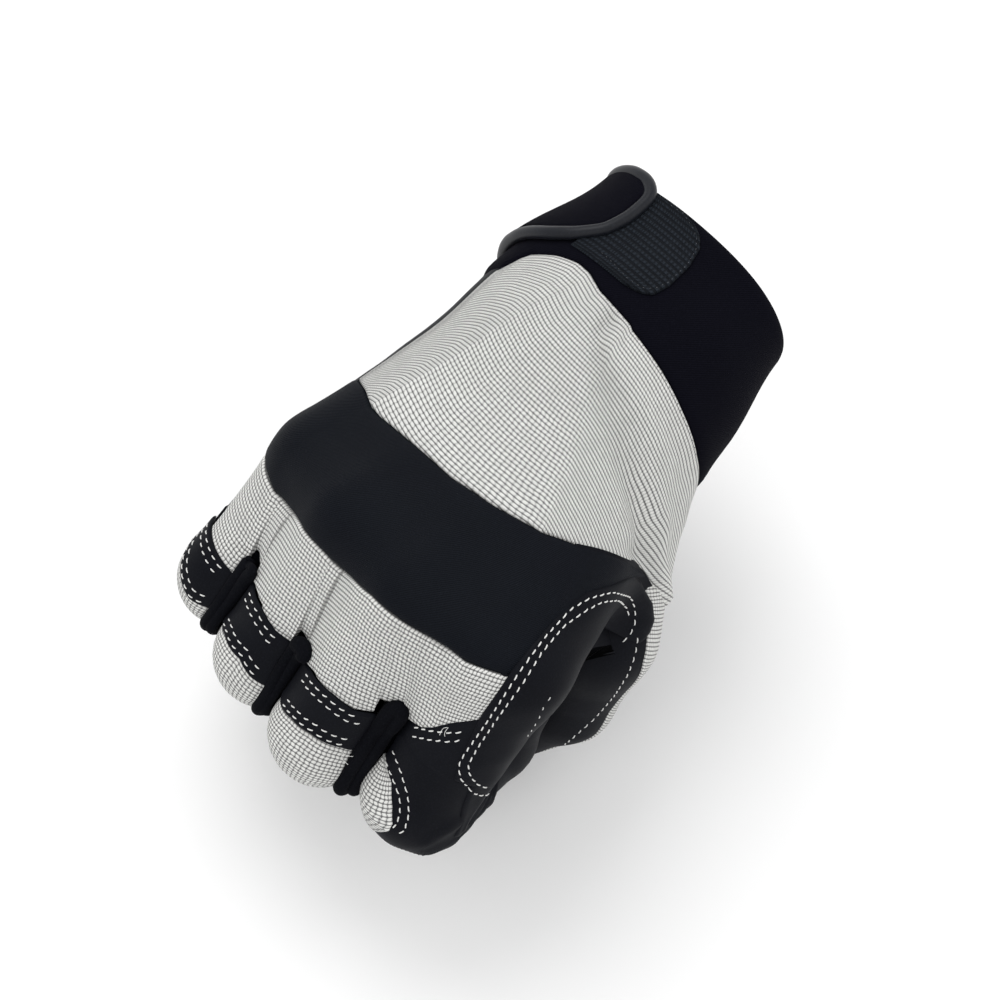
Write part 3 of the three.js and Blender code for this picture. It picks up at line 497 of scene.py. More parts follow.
# Soft uneven waves of cloth, so many millimetres high and long, the same on each run.
def waves(points, high, size, seed):
    rng = np.random.default_rng(seed)
    total = np.zeros(points.shape[:-1])
    for k in range(5):
        way = unit(rng.normal(size=3)) * 2 * math.pi / (size * (0.7 + 0.25 * k))
        total += np.sin(points @ way + rng.uniform(0, 6.28)) / 5
    return high * total



# Shader maths: a socket with arithmetic on it.
class Wire:
    def __init__(self, finish, socket):
        self.finish, self.socket = finish, socket

    def maths(self, operation, *others):
        return self.finish.node("ShaderNodeMath", {"operation": operation}, dict(enumerate((self,) + others)))

    def reflected(self, operation, other):
        return self.finish.node("ShaderNodeMath", {"operation": operation}, {0: other, 1: self})

    def __add__(self, other):
        return self.maths("ADD", other)

    def __sub__(self, other):
        return self.maths("SUBTRACT", other)

    def __mul__(self, other):
        return self.maths("MULTIPLY", other)

    def __truediv__(self, other):
        return self.maths("DIVIDE", other)

    def __pow__(self, other):
        return self.maths("POWER", other)

    def __rsub__(self, other):
        return self.reflected("SUBTRACT", other)

    __radd__ = __add__
    __rmul__ = __mul__

    def ridges(self, pitch):  # rounded ridges, one in each pitch
        return (self * (math.pi / pitch)).maths("SINE").maths("ABSOLUTE")

    def out(self, name):
        return Wire(self.finish, self.socket.node.outputs[name])


# A material that makes its own nodes.
class Finish:
    def __init__(self, name):
        self.material = bpy.data.materials.new(name)
        self.material.use_nodes = True
        self.tree = self.material.node_tree
        self.shader = self.tree.nodes["Principled BSDF"]

    def node(self, kind, settings=None, inputs=None):
        made = self.tree.nodes.new(kind)
        for key, value in (settings or {}).items():
            setattr(made, key, value)
        for key, value in (inputs or {}).items():
            self.feed(made.inputs[key], value)
        return Wire(self, next(o for o in made.outputs if o.enabled))

    def feed(self, socket, value):
        if isinstance(value, Wire):
            self.tree.links.new(value.socket, socket)
        elif socket.type == "RGBA" and len(value) == 3:
            socket.default_value = (*value, 1)
        else:
            socket.default_value = value

    def mix(self, share, low, high):  # sockets 0, 6 and 7 are the share and the two colours, 2 the colour out
        return self.node("ShaderNodeMix", {"data_type": "RGBA"}, {0: share, 6: low, 7: high}).out(2)

    def noise(self, scale, detail):
        inputs = {"Scale": scale, "Detail": detail, "Vector": self.objectPoint()}
        return self.node("ShaderNodeTexNoise", {}, inputs)

    def objectPoint(self):
        return self.node("ShaderNodeTexCoord").out("Object")

    def cloth(self):
        spot = self.node("ShaderNodeUVMap", {"uv_map": "cloth"})
        parts = self.node("ShaderNodeSeparateXYZ", {}, {0: spot})
        return parts.out("X"), parts.out("Y")

    def coat(self, colour, roughness, height=None, relief=0.0001, **constants):
        self.feed(self.shader.inputs["Base Color"], colour)
        self.feed(self.shader.inputs["Roughness"], roughness)
        if height is not None:
            self.feed(self.shader.inputs["Normal"],
                      self.node("ShaderNodeBump", {}, {"Height": height, "Distance": relief, "Strength": 1.0}))
        for name, value in constants.items():
            self.feed(self.shader.inputs[name.replace("_", " ")], value)
        return self.material


def ramp(wire, low, high):
    return wire.finish.node("ShaderNodeMapRange", {"interpolation_type": "SMOOTHSTEP"},
                            {0: wire, 1: low, 2: high, 3: 0.0, 4: 1.0})


# Canvas in square baskets: bright rounded yarns across the hand, pinched where others cross them.
# Pitches are in millimetres of cloth, relief in metres.
# The "shade" and "gap" colours are painted shade: the yarn's dips and the hollows between yarns are darkened in
# colour, with the yarn colour kept for the lit crowns.
canvas = {
    "yarn": (0.66, 0.66, 0.64), "shade": (0.36, 0.36, 0.355), "gap": (0.05, 0.05, 0.05),
    "worn": (0.34, 0.34, 0.33), "relief": 0.0003, "roughness": 0.85,
    "drift": (0.5, 0.7), "fuzz": 0.12, "stagger": 0.12,
}
canvasKinds = {
    "greyBack": {"across": 0.84, "along": 1.06, "pinch": 0.66, "paintedGapShade": 0.85, "bright": 1.2},
    "greyKnuckle": {"across": 1.1, "along": 1.12, "pinch": 0.85, "paintedGapShade": 0.88, "bright": 1.3},
}


def greyCanvas(name, weave):
    f = Finish(name)
    u, v = f.cloth()
    drift, fuzz = f.noise(90, 1) - 0.5, (f.noise(2600, 2) - 0.5) * canvas["fuzz"]
    u = u + drift * canvas["drift"][0] + fuzz
    v = v + drift * canvas["drift"][1] + fuzz
    row = v / weave["along"]
    parity = (row + 0.5).maths("FLOOR").maths("MODULO", 2.0)
    column = u / weave["across"] + parity * canvas["stagger"]
    rib, knot = row.ridges(1) ** 0.85, column.ridges(1) ** 0.85
    pillow = rib * (1 - (1 - knot) * weave["pinch"])
    height = pillow + f.noise(5200, 2) * 0.16
    shade, yarn = ([c * weave["bright"] for c in canvas[tone]] for tone in ("shade", "yarn"))
    # Painted shade: each yarn's colour runs from the shade colour in its dips to the yarn colour on its crown.
    body = f.mix(ramp(pillow, 0.15, 0.8), shade, yarn)
    # Painted shade: the hollows between yarns are painted towards the near-black gap colour, as strongly as
    # each kind's gap setting says.
    body = f.mix((1 - ramp(pillow, 0.05, 0.5)) * weave["paintedGapShade"], body, canvas["gap"])
    wear = ramp(f.noise(420, 3), 0.3, 0.75) * 0.16 + ramp(f.noise(24, 2), 0.25, 0.8) * 0.07
    body = f.mix(wear, body, canvas["worn"])
    return f.coat(body, canvas["roughness"], height, canvas["relief"], Sheen_Weight=0.03,
                  Specular_IOR_Level=0.15)


def twill(f, u, v):
    return (u + v * 0.8).ridges(0.62)


def hookLoops(f, u, v):
    return ramp(v.ridges(1.7), 0.35, 0.9) * (0.25 + u.ridges(0.85) * 0.75)


# The other cloths: their colour and that of their lighter spots, and the relief in metres.
clothKinds = {
    "suede": {"colour": (0.003, 0.0034, 0.0056), "spots": (0.0055, 0.0062, 0.009), "roughness": 0.58,
              "relief": 0.00008, "sheen": 0.004, "specular": 0.07},
    "felt": {"colour": (0.0032, 0.0034, 0.005), "spots": (0.006, 0.0065, 0.0085), "roughness": 0.95,
             "relief": 0.00018, "sheen": 0.01, "specular": 0.03},
    "jersey": {"colour": (0.0024, 0.003, 0.005), "spots": (0.0045, 0.0056, 0.0082), "roughness": 0.6,
               "relief": 0.00009, "sheen": 0.004, "specular": 0.06, "pattern": twill, "lineHighlight": 0.3,
               "lint": 0.3},
    "neoprene": {"colour": (0.0018, 0.0018, 0.0038), "spots": (0.0035, 0.0035, 0.0062), "roughness": 0.85,
                 "relief": 0.00009, "sheen": 0.004, "specular": 0.03, "pattern": twill, "lineHighlight": 0.25},
    "hook": {"colour": (0.003, 0.0038, 0.006), "spots": (0.009, 0.0115, 0.0155), "roughness": 0.8,
             "relief": 0.0005, "sheen": 0.006, "specular": 0.1, "pattern": hookLoops, "lineHighlight": 0.7},
    "satin": {"colour": (0.006, 0.007, 0.0105), "spots": (0.011, 0.0125, 0.017), "roughness": 0.42,
              "relief": 0.00003, "sheen": 0.005, "specular": 0.22},
    "lining": {"colour": (0.012, 0.012, 0.014), "spots": (0.02, 0.02, 0.023), "roughness": 0.95,
               "relief": 0.0001, "sheen": 0.1, "specular": 0.1},
    "greyLining": {"colour": (0.2, 0.2, 0.2), "spots": (0.28, 0.28, 0.28), "roughness": 0.95,
                   "relief": 0.0001, "sheen": 0.1, "specular": 0.1},
}
lintColour = (0.55, 0.6, 0.66)


def clothShade(name, look):
    f = Finish(name)
    grain, patch = f.noise(2300, 3), f.noise(60, 3)
    shade = f.mix(ramp(patch, 0.25, 0.8) * 0.55, look["colour"], look["spots"])
    shade = f.mix(ramp(grain, 0.45, 0.75) * 0.35, shade, [c * 1.9 for c in look["spots"]])
    height = grain * 0.6
    if "pattern" in look:
        lines = look["pattern"](f, *f.cloth())
        height = height + lines
        # Painted highlight: the raised lines of the pattern are also painted lighter, as light catching their
        # crests.
        shade = f.mix(lines * look["lineHighlight"], shade, [c * 2.4 for c in look["spots"]])
    if "lint" in look:
        cells = f.node("ShaderNodeTexVoronoi", {"feature": "F1"}, {"Vector": f.objectPoint(), "Scale": 210.0})
        speck = (1 - ramp(cells, 0.02, 0.05)) * ramp(f.noise(55, 0), 0.62, 0.66)
        shade = f.mix(speck * look["lint"], shade, lintColour)
    return f.coat(shade, look["roughness"] + (patch - 0.5) * 0.12, height, look["relief"],
                  Sheen_Weight=look["sheen"], Sheen_Roughness=0.4, Specular_IOR_Level=look["specular"])


threadKinds = {
    "thread": {"dull": (0.62, 0.62, 0.6), "bright": (0.86, 0.86, 0.84)},
    "darkThread": {"dull": (0.03, 0.033, 0.04), "bright": (0.11, 0.115, 0.13)},
}


def threadShade(name, look):
    f = Finish(name)
    ply = f.noise(3800, 2)
    return f.coat(f.mix(ramp(ply, 0.3, 0.7), look["dull"], look["bright"]), 0.6, ply, 0.00006, Sheen_Weight=0.1)


materials = {name: greyCanvas(name, weave) for name, weave in canvasKinds.items()}
materials.update({name: clothShade(name, look) for name, look in clothKinds.items()})
materials.update({name: threadShade(name, look) for name, look in threadKinds.items()})
print("stage: materials are ready")


# Points and faces in millimetres become an object in metres; backs tells the faces of the lining.
def addMesh(name, verts, faces, uv, finishes, backs=None):
    mesh = bpy.data.meshes.new(name)
    mesh.from_pydata((verts * 0.001).tolist(), [], faces)
    layer = mesh.uv_layers.new(name="cloth")
    loops = np.empty(len(mesh.loops), np.int32)
    mesh.loops.foreach_get("vertex_index", loops)
    layer.data.foreach_set("uv", uv[loops].astype(np.float32).ravel())
    for finish in finishes:
        mesh.materials.append(materials[finish])
    if backs is not None:
        mesh.polygons.foreach_set("material_index", backs.astype(np.int32))
    mesh.polygons.foreach_set("use_smooth", np.full(len(faces), True))
    mesh.update()
    made = bpy.data.objects.new(name, mesh)
    bpy.context.scene.collection.objects.link(made)
    return made


def dress(piece, node=None):
    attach(piece, "root")
    if node:
        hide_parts(node)
    return piece


# The quads of a grid: its outer face, its back, and the walls where kept cells meet left out ones.
def sheetFaces(rows, cols, wraps, keep):
    cells = cols if wraps else cols - 1
    keep = np.ones((rows - 1, cells), bool) if keep is None else keep
    index = np.arange(rows * cols).reshape(rows, cols)
    beside = np.roll(index, -1, axis=1)
    a, b = index[:-1, :cells], beside[:-1, :cells]
    d, c = index[1:, :cells], beside[1:, :cells]
    n = rows * cols
    outer = np.stack([a, b, c, d], -1)[keep]
    pad = np.zeros((1, cells), bool)
    above, below = np.vstack([pad, keep[:-1]]), np.vstack([keep[1:], pad])
    before, after = np.roll(keep, 1, axis=1), np.roll(keep, -1, axis=1)
    if not wraps:
        before[:, 0], after[:, -1] = False, False
    walls = [np.stack([e, f, f + n, e + n], -1)[keep & ~there]
             for e, f, there in ((b, a, above), (d, c, below), (a, d, before), (c, b, after))]
    return outer, outer[:, ::-1] + n, np.concatenate(walls)


# Two faces of cloth with walls between them, all facing outwards.
def walled(outer, under, normals, wraps=False, keep=None):
    face, back, walls = sheetFaces(*outer.shape[:2], wraps, keep)
    faces = np.concatenate([face, back, walls])
    verts = np.concatenate([outer.reshape(-1, 3), under.reshape(-1, 3)])
    p = verts[face]
    out = np.cross(p[:, 1] - p[:, 0], p[:, 3] - p[:, 0])
    if (out * normals.reshape(-1, 3)[face[:, 0]]).sum() < 0:
        faces = faces[:, ::-1]
    return verts, faces, len(face)


# How far each point lies from a line of points, in blocks that fit the memory.
def reachTo(points, line):
    flat = points.reshape(-1, 3)
    far = np.concatenate([np.linalg.norm(block[:, None] - line[None], axis=-1).min(1)
                          for block in np.array_split(flat, max(1, len(flat) * len(line) // 4000000))])
    return far.reshape(points.shape[:-1])


def outlineOf(points, wraps):
    if wraps:
        return np.concatenate([points[0], points[-1]])
    return np.concatenate([points[0], points[-1], points[:, 0], points[:, -1]])


# The mean of each inner point's four neighbours.
def neighbours(grid):
    return (grid[:-2, 1:-1] + grid[2:, 1:-1] + grid[1:-1, :-2] + grid[1:-1, 2:]) / 4


def softened(normals, rounds):
    for turn in range(rounds):
        middle = neighbours(normals)
        normals = normals.copy()
        normals[1:-1, 1:-1] = middle
    return unit(normals)


# Cloth under tension: it bridges the hollows below it instead of following them down.
def stretched(points, normals, height, rounds, most):
    rise = height
    for turn in range(rounds):
        middle = neighbours(points + normals * rise[..., None])
        rise = rise.copy()
        rise[1:-1, 1:-1] = dot(middle - points[1:-1, 1:-1], normals[1:-1, 1:-1])
        rise = np.clip(rise, height, height + most)
    return rise


def distances(points, axis):
    steps = np.linalg.norm(np.diff(points, axis=axis), axis=-1).cumsum(axis)
    start = np.zeros((1, points.shape[1]) if axis == 0 else (points.shape[0], 1))
    return np.concatenate([start, steps], axis)


# What a piece's own dictionary may say about its cloth, in millimetres. The outer face stands "top"
# over the skin and rolls down by "drop" within "roll" of the edges; "bulge" crowns it, "crown" from
# the edge; "stretch" is how many rounds of tension it gets and "most" how far they may lift it.
plainCloth = {
    "material": "suede", "inner": "lining", "slot": "black_leather", "top": 0.0, "thick": 1.3,
    "roll": 1.0, "drop": 0.7, "bulge": 0.0, "crown": 6.0, "stretch": 0, "most": 2.2, "evenRows": False,
}
grey = {"material": "greyKnuckle", "inner": "greyLining", "slot": "grey_fabric"}


# One sheet of cloth over a grid of surface points; relief adds its folds.
def clothSheet(name, node, points, normals, own, relief=0.0, wraps=False, keep=None):
    cloth = {**plainCloth, **own}
    rows, cols = points.shape[:2]
    reach = reachTo(points, outlineOf(points, wraps))
    near = np.clip(reach / cloth["roll"], 0, 1)
    edge = cloth["drop"] * (1 - np.sqrt(np.clip(1 - (1 - near) ** 2, 0, 1)))
    height = cloth["top"] + cloth["bulge"] * (1 - np.exp(-reach / cloth["crown"]))
    height = height + relief * smoothStep(reach, 0, 3)
    if cloth["stretch"]:
        normals = softened(normals, 240)
        height = stretched(points, normals, height, cloth["stretch"], cloth["most"])
    outer = points + normals * (height - edge)[..., None]
    under = points + normals * (height - cloth["thick"] + 0.35 * edge)[..., None]
    across, along = distances(points, 1), distances(points, 0)
    across = across - across[:, cols // 2:cols // 2 + 1]
    across = np.broadcast_to(across[:max(2, rows // 2)].mean(0), across.shape)
    if cloth["evenRows"]:
        along = np.broadcast_to(along.mean(1, keepdims=True), along.shape)
    uv = np.stack([across, along], -1).reshape(-1, 2)
    verts, faces, count = walled(outer, under, normals, wraps, keep)
    used = np.unique(faces)
    place = np.zeros(len(verts), int)
    place[used] = np.arange(len(used))
    order = np.arange(len(faces))
    made = addMesh(name, verts[used], place[faces].tolist(), np.concatenate([uv, uv])[used],
                   (cloth["material"], cloth["inner"]), (order >= count) & (order < 2 * count))
    return dress(made, node)


# Steps between two edges, closer together where the cloth rolls over.
def steps(count, length, roll=1.0):
    near = np.array([0, 0.1, 0.25, 0.45, 0.7, 1.0]) * roll / length
    return np.concatenate([near, np.linspace(near[-1], 1 - near[-1], count)[1:-1], 1 - near[::-1]])


def turnSteps(low, high, count, width):
    return low + (high - low) * steps(count, width)


def onSurface(skin, places, angles):
    return skin.point(places, angles), skin.normal(places, angles)


# A grid between two edge lines, given as places at each turn.
def skinGrid(skin, turns, first, last, rows, length):
    share = steps(rows, length)[:, None]
    places = table(first, turns)[None] * (1 - share) + table(last, turns)[None] * share
    turns = np.broadcast_to(turns, places.shape)
    return places, turns, *onSurface(skin, places, turns)


# A free outline filled with rows of cloth: each row runs between two edges.
def rowGrid(skin, rowPlaces, near, far, cols, width):
    share = steps(cols, width)[None, :]
    angle = table(near, rowPlaces)[:, None] * (1 - share) + table(far, rowPlaces)[:, None] * share
    places = np.broadcast_to(np.asarray(rowPlaces)[:, None], angle.shape)
    return places, angle, *onSurface(skin, places, angle)


# Seams across the back of the hand: turn round the hand, place along it.
seams = {
    "cuff": [(12, 1.09), (21, 1.08), (24, 0.95), (33, 0.85), (40, 0.81), (72, 0.88), (129, 0.92),
             (147, 0.98), (160, 1.02), (176, 1.05), (200, 1.05), (270, 1.0), (372, 1.09), (384, 0.95)],
    "bandTop": [(10, 1.784), (32, 1.794), (52, 1.824), (94, 1.834), (114, 1.804), (132, 1.754),
                (152, 1.714), (188, 1.564), (196, 1.524), (215, 1.484)],
    "bandEnd": [(10, 3.16), (16, 3.18), (45, 3.31), (64, 3.13), (81, 3.02), (102, 2.81), (117, 2.74),
                (129, 2.66), (153, 2.55), (158, 2.35), (163, 2.0), (176, 1.8), (190, 1.62), (197, 1.53)],
}

cuff = {"material": "neoprene", "slot": "neoprene", "thick": 3.1, "top": 0.15, "roll": 1.5, "drop": 1.2,
        "start": -0.06, "swell": 0.5, "folds": (0.18, 26, 3), "fill": 0.3}
places, angle, points, normals = skinGrid(
    handCover, np.arange(0, 360, 2.0), [(0, cuff["start"]), (360, cuff["start"])], seams["cuff"], 44, 34)
cuffBand = clothSheet("cuffBand", "cuff_band", points, normals, cuff,
                      relief=waves(points, *cuff["folds"]) + cuff["swell"], wraps=True)

# The grey back: a soft valley runs from the cuff to the root of the thumb, with a swell beside it
# and fine ripples where the thumb pulls.
back = {**grey, "material": "greyBack", "thick": 1.5, "roll": 1.3, "drop": 0.9, "turns": (18.5, 206),
        "valley": [(0.9, 104), (1.08, 109), (1.18, 132), (1.32, 148), (1.42, 167), (1.52, 186)],
        "valleyDepth": 2.6, "valleyWidth": 11, "swell": 2.3, "swellAside": 24, "swellWidth": 15,
        "folds": (0.16, 17, 5), "ripple": {"high": 0.1, "rate": 46, "turn": 182, "width": 14}}
places, angle, points, normals = skinGrid(
    handCover, turnSteps(*back["turns"], 120, 120), seams["cuff"], seams["bandTop"], 44, 38)
aside = angle - table(back["valley"], places)
dip = -back["valleyDepth"] * np.exp(-(aside / back["valleyWidth"]) ** 2)
swell = back["swell"] * np.exp(-((aside - back["swellAside"]) / back["swellWidth"]) ** 2)
ripple = back["ripple"]
ripples = ripple["high"] * np.sin(places * ripple["rate"] + angle * 0.05)
ripples = ripples * np.exp(-((angle - ripple["turn"]) / ripple["width"]) ** 2)
clothSheet("backPanel", "back_panel", points, normals, back,
           relief=dip + swell * smoothStep(places, 0.95, 1.2) + waves(points, *back["folds"]) + ripples)

# The padded band over the back of the knuckles.
band = {"material": "jersey", "slot": "neoprene", "thick": 3.2, "roll": 1.6, "drop": 1.1, "bulge": 1.0,
        "crown": 5, "stretch": 260, "turns": (15, 197), "folds": (0.12, 30, 8), "fill": 0.5}
places, angle, points, normals = skinGrid(
    handCover, turnSteps(*band["turns"], 130, 120), seams["bandTop"], seams["bandEnd"], 44, 30)
knuckleBand = clothSheet("knuckleBand", "knuckle_band", points, normals, band,
                         relief=waves(points, *band["folds"]))

# Grey over the knuckles: where it ends on each finger (angle, place), and in the valleys between.
panel = {
    **grey, "thick": 1.5, "roll": 1.2, "drop": 0.8, "bulge": 0.5, "crown": 7, "stretch": 700, "most": 5,
    "turns": (13, 157), "folds": (0.14, 15, 11),
    "ends": {
        "little": [(-90, 5.2), (12, 5.2), (16, 5.18)],
        "ring": [(-66, 4.75), (-51, 4.89), (-21, 5.03), (6, 5.06), (27, 5.06)],
        "middle": [(-68, 5.05), (-60, 4.88), (-50, 4.53), (-36, 4.06), (-20, 4.01), (0, 3.98), (27, 3.98),
                   (50, 3.9)],
        "index": [(-50, 3.86), (-39, 3.83), (-15, 3.72), (5, 3.45), (30, 3.14), (45, 2.94)],
    },
    "valleys": ((70, 3.97), (100, 3.95), (360, 3.72)),
}


def panelEnd(turns):
    ends = np.full(len(turns), np.nan)
    for k, turn in enumerate(turns):
        for name, rows in panel["ends"].items():
            angle = -83.0 if name == "little" and turn < 22.5 else onFinger(name, turn)
            if angle is not None and rows[0][0] <= angle <= rows[-1][0]:
                ends[k] = table(rows, angle)
        if np.isnan(ends[k]):
            ends[k] = next(place for last, place in panel["valleys"] if turn < last)
    return ends


panelTurns = turnSteps(*panel["turns"], 290, 110)
share = steps(64, 34)[:, None]
places = table(seams["bandEnd"], panelTurns) * (1 - share) + panelEnd(panelTurns) * share
points, normals = onSurface(handCover, places, np.broadcast_to(panelTurns, places.shape))
clothSheet("knucklePanel", "knuckle_panel", points, normals, panel, relief=waves(points, *panel["folds"]))
print("stage: the back of the hand is made")


# The palm, from the thumb's side round to the little finger's edge. It is left out where it lies deep
# inside the thumb or the curled fingers.
palm = {"top": -0.25, "drop": 0.6, "turns": (150, 381), "ends": (4.98, 4.6), "folds": (0.15, 14, 17),
        "deep": 2.2}


def curledField(p):
    return np.minimum.reduce([bonesField(p, chains[name], 2) for name in fingerNames])


palmTurns = turnSteps(*palm["turns"], 170, 140)
besideBand = np.maximum(table(seams["bandTop"], palmTurns), 1.5) - 0.02
start = np.where(palmTurns < 206, besideBand, table(seams["cuff"], palmTurns))
ends = np.where(palmTurns > 345, palm["ends"][1], palm["ends"][0])
share = steps(96, 70)[:, None]
places = start * (1 - share) + ends * share
points, normals = onSurface(handCover, places, np.broadcast_to(palmTurns, places.shape))
hidden = (bonesField(points, thumb, 0) < -palm["deep"]) | (curledField(points) < -palm["deep"])
hidden = hidden[:-1] & hidden[1:]
clothSheet("palmPanel", "palm_panel", points, normals, palm, relief=waves(points, *palm["folds"]),
           keep=~(hidden[:, :-1] & hidden[:, 1:]))


def fingerGrid(skin, low, high, first, last, rows, cols, length=30, width=18):
    return skinGrid(skin, turnSteps(low, high, cols, width), first, last, rows, length)


def levelEdge(place):  # an edge at one place, whatever the angle
    return [(-180, place), (180, place)]


# Bands across the fingers: the span of angles and the two edges (angle, place) of each.
bands = {
    "top": 0.95, "thick": 0.9, "roll": 0.8, "folds": (0.1, 11, 21),
    "little": {"span": (-80, 19), "rows": 22, "length": 11,
               "first": [(-80, 5.12), (12, 5.17), (30, 5.17)],
               "last": [(-80, 5.37), (-48, 5.4), (-6, 5.43), (12, 5.4), (30, 5.38)]},
    "ring": {"span": (-80, 31), "rows": 22, "length": 11,
             "first": [(-82, 4.75), (-51, 4.86), (-21, 5.0), (6, 5.03), (42, 5.03)],
             "last": [(-82, 5.44), (-72, 5.41), (-36, 5.31), (-6, 5.28), (12, 5.31), (42, 5.34)]},
    "middle": {"span": (-80, 57), "rows": 60, "length": 24,
               "first": [(-84, 5.05), (-66, 4.95), (-50, 4.5), (-36, 4.02), (-20, 3.97), (0, 3.94), (27, 3.94),
                         (42, 3.89), (66, 3.86)],
               "last": [(-84, 5.36), (-48, 5.31), (-21, 5.24), (3, 5.21), (36, 5.21), (66, 5.24)]},
}
bandedFingers = ("little", "ring", "middle")
for name in bandedFingers:
    own = bands[name]
    places, angle, points, normals = fingerGrid(
        skins[name], *own["span"], own["first"], own["last"], own["rows"], 60, own["length"])
    clothSheet("fingerBand." + name, "finger_band_" + name, points, normals, bands,
               relief=waves(points, *bands["folds"]))

# The grey back of each finger starts a little way under its band.
fingerBacks = {**grey, "thick": 1.4, "end": 9.35, "under": 0.06, "swell": 0.25, "folds": (0.14, 12, 25),
               "spans": {"little": (-84, 38), "ring": (-86, 48), "middle": (-86, 62)}}
fingerEnd = levelEdge(fingerBacks["end"])
for name, span in fingerBacks["spans"].items():
    first = [(a, place - fingerBacks["under"]) for a, place in bands[name]["last"]]
    places, angle, points, normals = fingerGrid(skins[name], *span, first, fingerEnd, 110, 56, 60)
    clothSheet("fingerBack." + name, "finger_back_" + name, points, normals, fingerBacks,
               relief=fingerBacks["swell"] + waves(points, *fingerBacks["folds"]))

# Palm side and tip of each finger: between two angles as far as the tip, and all round it there.
fingerPalms = {
    "top": -0.05, "thick": 1.2, "tip": 9.3, "folds": (0.12, 10, 31),
    "little": {"start": 4.6, "span": (100, 236)}, "ring": {"start": 5.0, "span": (104, 250)},
    "middle": {"start": 5.0, "span": (108, 250)}, "index": {"start": 5.0, "span": (118, 250)},
}
for name in fingerNames:
    own, tip = fingerPalms[name], fingerPalms["tip"]
    rowPlaces = np.concatenate([np.linspace(own["start"], tip, 80), np.linspace(tip, 9.995, 14)[1:]])
    angle, places = np.meshgrid(np.arange(0, 360, 5.0), rowPlaces)
    points, normals = onSurface(skins[name], places, angle)
    kept = ((angle >= own["span"][0]) & (angle < own["span"][1])) | (places >= tip - 0.001)
    clothSheet("fingerPalm." + name, "finger_palm_" + name, points, normals, fingerPalms,
               relief=waves(points, *fingerPalms["folds"]), wraps=True, keep=kept[:-1])

littleSide = {"top": 0.15, "thick": 1.2, "span": (-128, -80), "start": 4.0, "folds": (0.12, 12, 33)}
places, angle, points, normals = fingerGrid(
    skins["little"], *littleSide["span"], levelEdge(littleSide["start"]), fingerEnd, 120, 22, 70, 8)
clothSheet("littleSide", "little_side", points, normals, littleSide, relief=waves(points, *littleSide["folds"]))

# The index finger is wrapped in black, with lumps (place, height) over the bent joint on the thumb's
# side and finer wrinkles beyond the knuckle.
index = {
    "top": 0.3, "span": (-46, 150), "wrinkles": (0.25, 9, 41),
    "first": [(-46, 3.82), (-39, 3.79), (-15, 3.68), (5, 3.41), (30, 3.1), (45, 2.9), (150, 2.9)],
    "lumps": ((5.4, 0.8), (5.55, 1.3), (5.7, 1.5), (5.86, 1.3)), "lumpLength": 0.045, "lumpsFrom": (15, 55),
}
places, angle, points, normals = fingerGrid(
    indexCover, *index["span"], index["first"], fingerEnd, 190, 100, 110, 34)
lumps = sum(high * np.exp(-((places - at - 0.03 * np.sin(angle / 14 + k)) / index["lumpLength"]) ** 2)
            for k, (at, high) in enumerate(index["lumps"]))
lumps = lumps * smoothStep(angle, *index["lumpsFrom"])
wrinkles = waves(points, *index["wrinkles"]) * smoothStep(places, 3.8, 5.0)
clothSheet("indexWrap", "index_wrap", points, normals, index, relief=lumps + wrinkles)

# The grey of the index finger: the teardrop that shows at the bent joint (edges as place, angle), and
# the back beyond it.
teardrop = {
    **grey, "top": 0.75, "thick": 0.7, "roll": 0.9, "drop": 0.5, "start": 5.19, "length": 0.33,
    "near": [(5.19, -46), (5.3, -50), (5.45, -50), (5.52, -44)],
    "far": [(5.19, -42), (5.21, -15), (5.28, 0), (5.34, 8), (5.38, 8), (5.45, -4), (5.5, -24), (5.52, -42)],
}
rowPlaces = teardrop["start"] + teardrop["length"] * steps(30, 12, 0.8)
places, angle, points, normals = rowGrid(indexCover, rowPlaces, teardrop["near"], teardrop["far"], 30, 9)
clothSheet("indexBack.window", "finger_back_index", points, normals, teardrop)
indexBack = {**grey, "top": 0.8, "thick": 1.0, "span": (-58, 14), "start": 5.64, "folds": (0.14, 12, 26)}
places, angle, points, normals = fingerGrid(
    skins["index"], *indexBack["span"], levelEdge(indexBack["start"]), fingerEnd, 100, 40, 50)
clothSheet("indexBack", "finger_back_index", points, normals, indexBack,
           relief=waves(points, *indexBack["folds"]))
print("stage: the fingers are covered")


def lengthsAlong(line):
    return np.concatenate([[0], np.linalg.norm(np.diff(line, axis=0), axis=-1).cumsum()])


def readAt(line, far, at):
    return np.stack([np.interp(at, far, line[:, k]) for k in range(line.shape[1])], -1)


def evenly(line, gap):
    far = lengthsAlong(line)
    return readAt(line, far, np.linspace(0, far[-1], max(3, int(far[-1] / gap) + 1)))


def rounded(line, times=6):
    for turn in range(times):
        line = line.copy()
        line[1:-1] = (line[:-2] + 2 * line[1:-1] + line[2:]) / 4
    return line


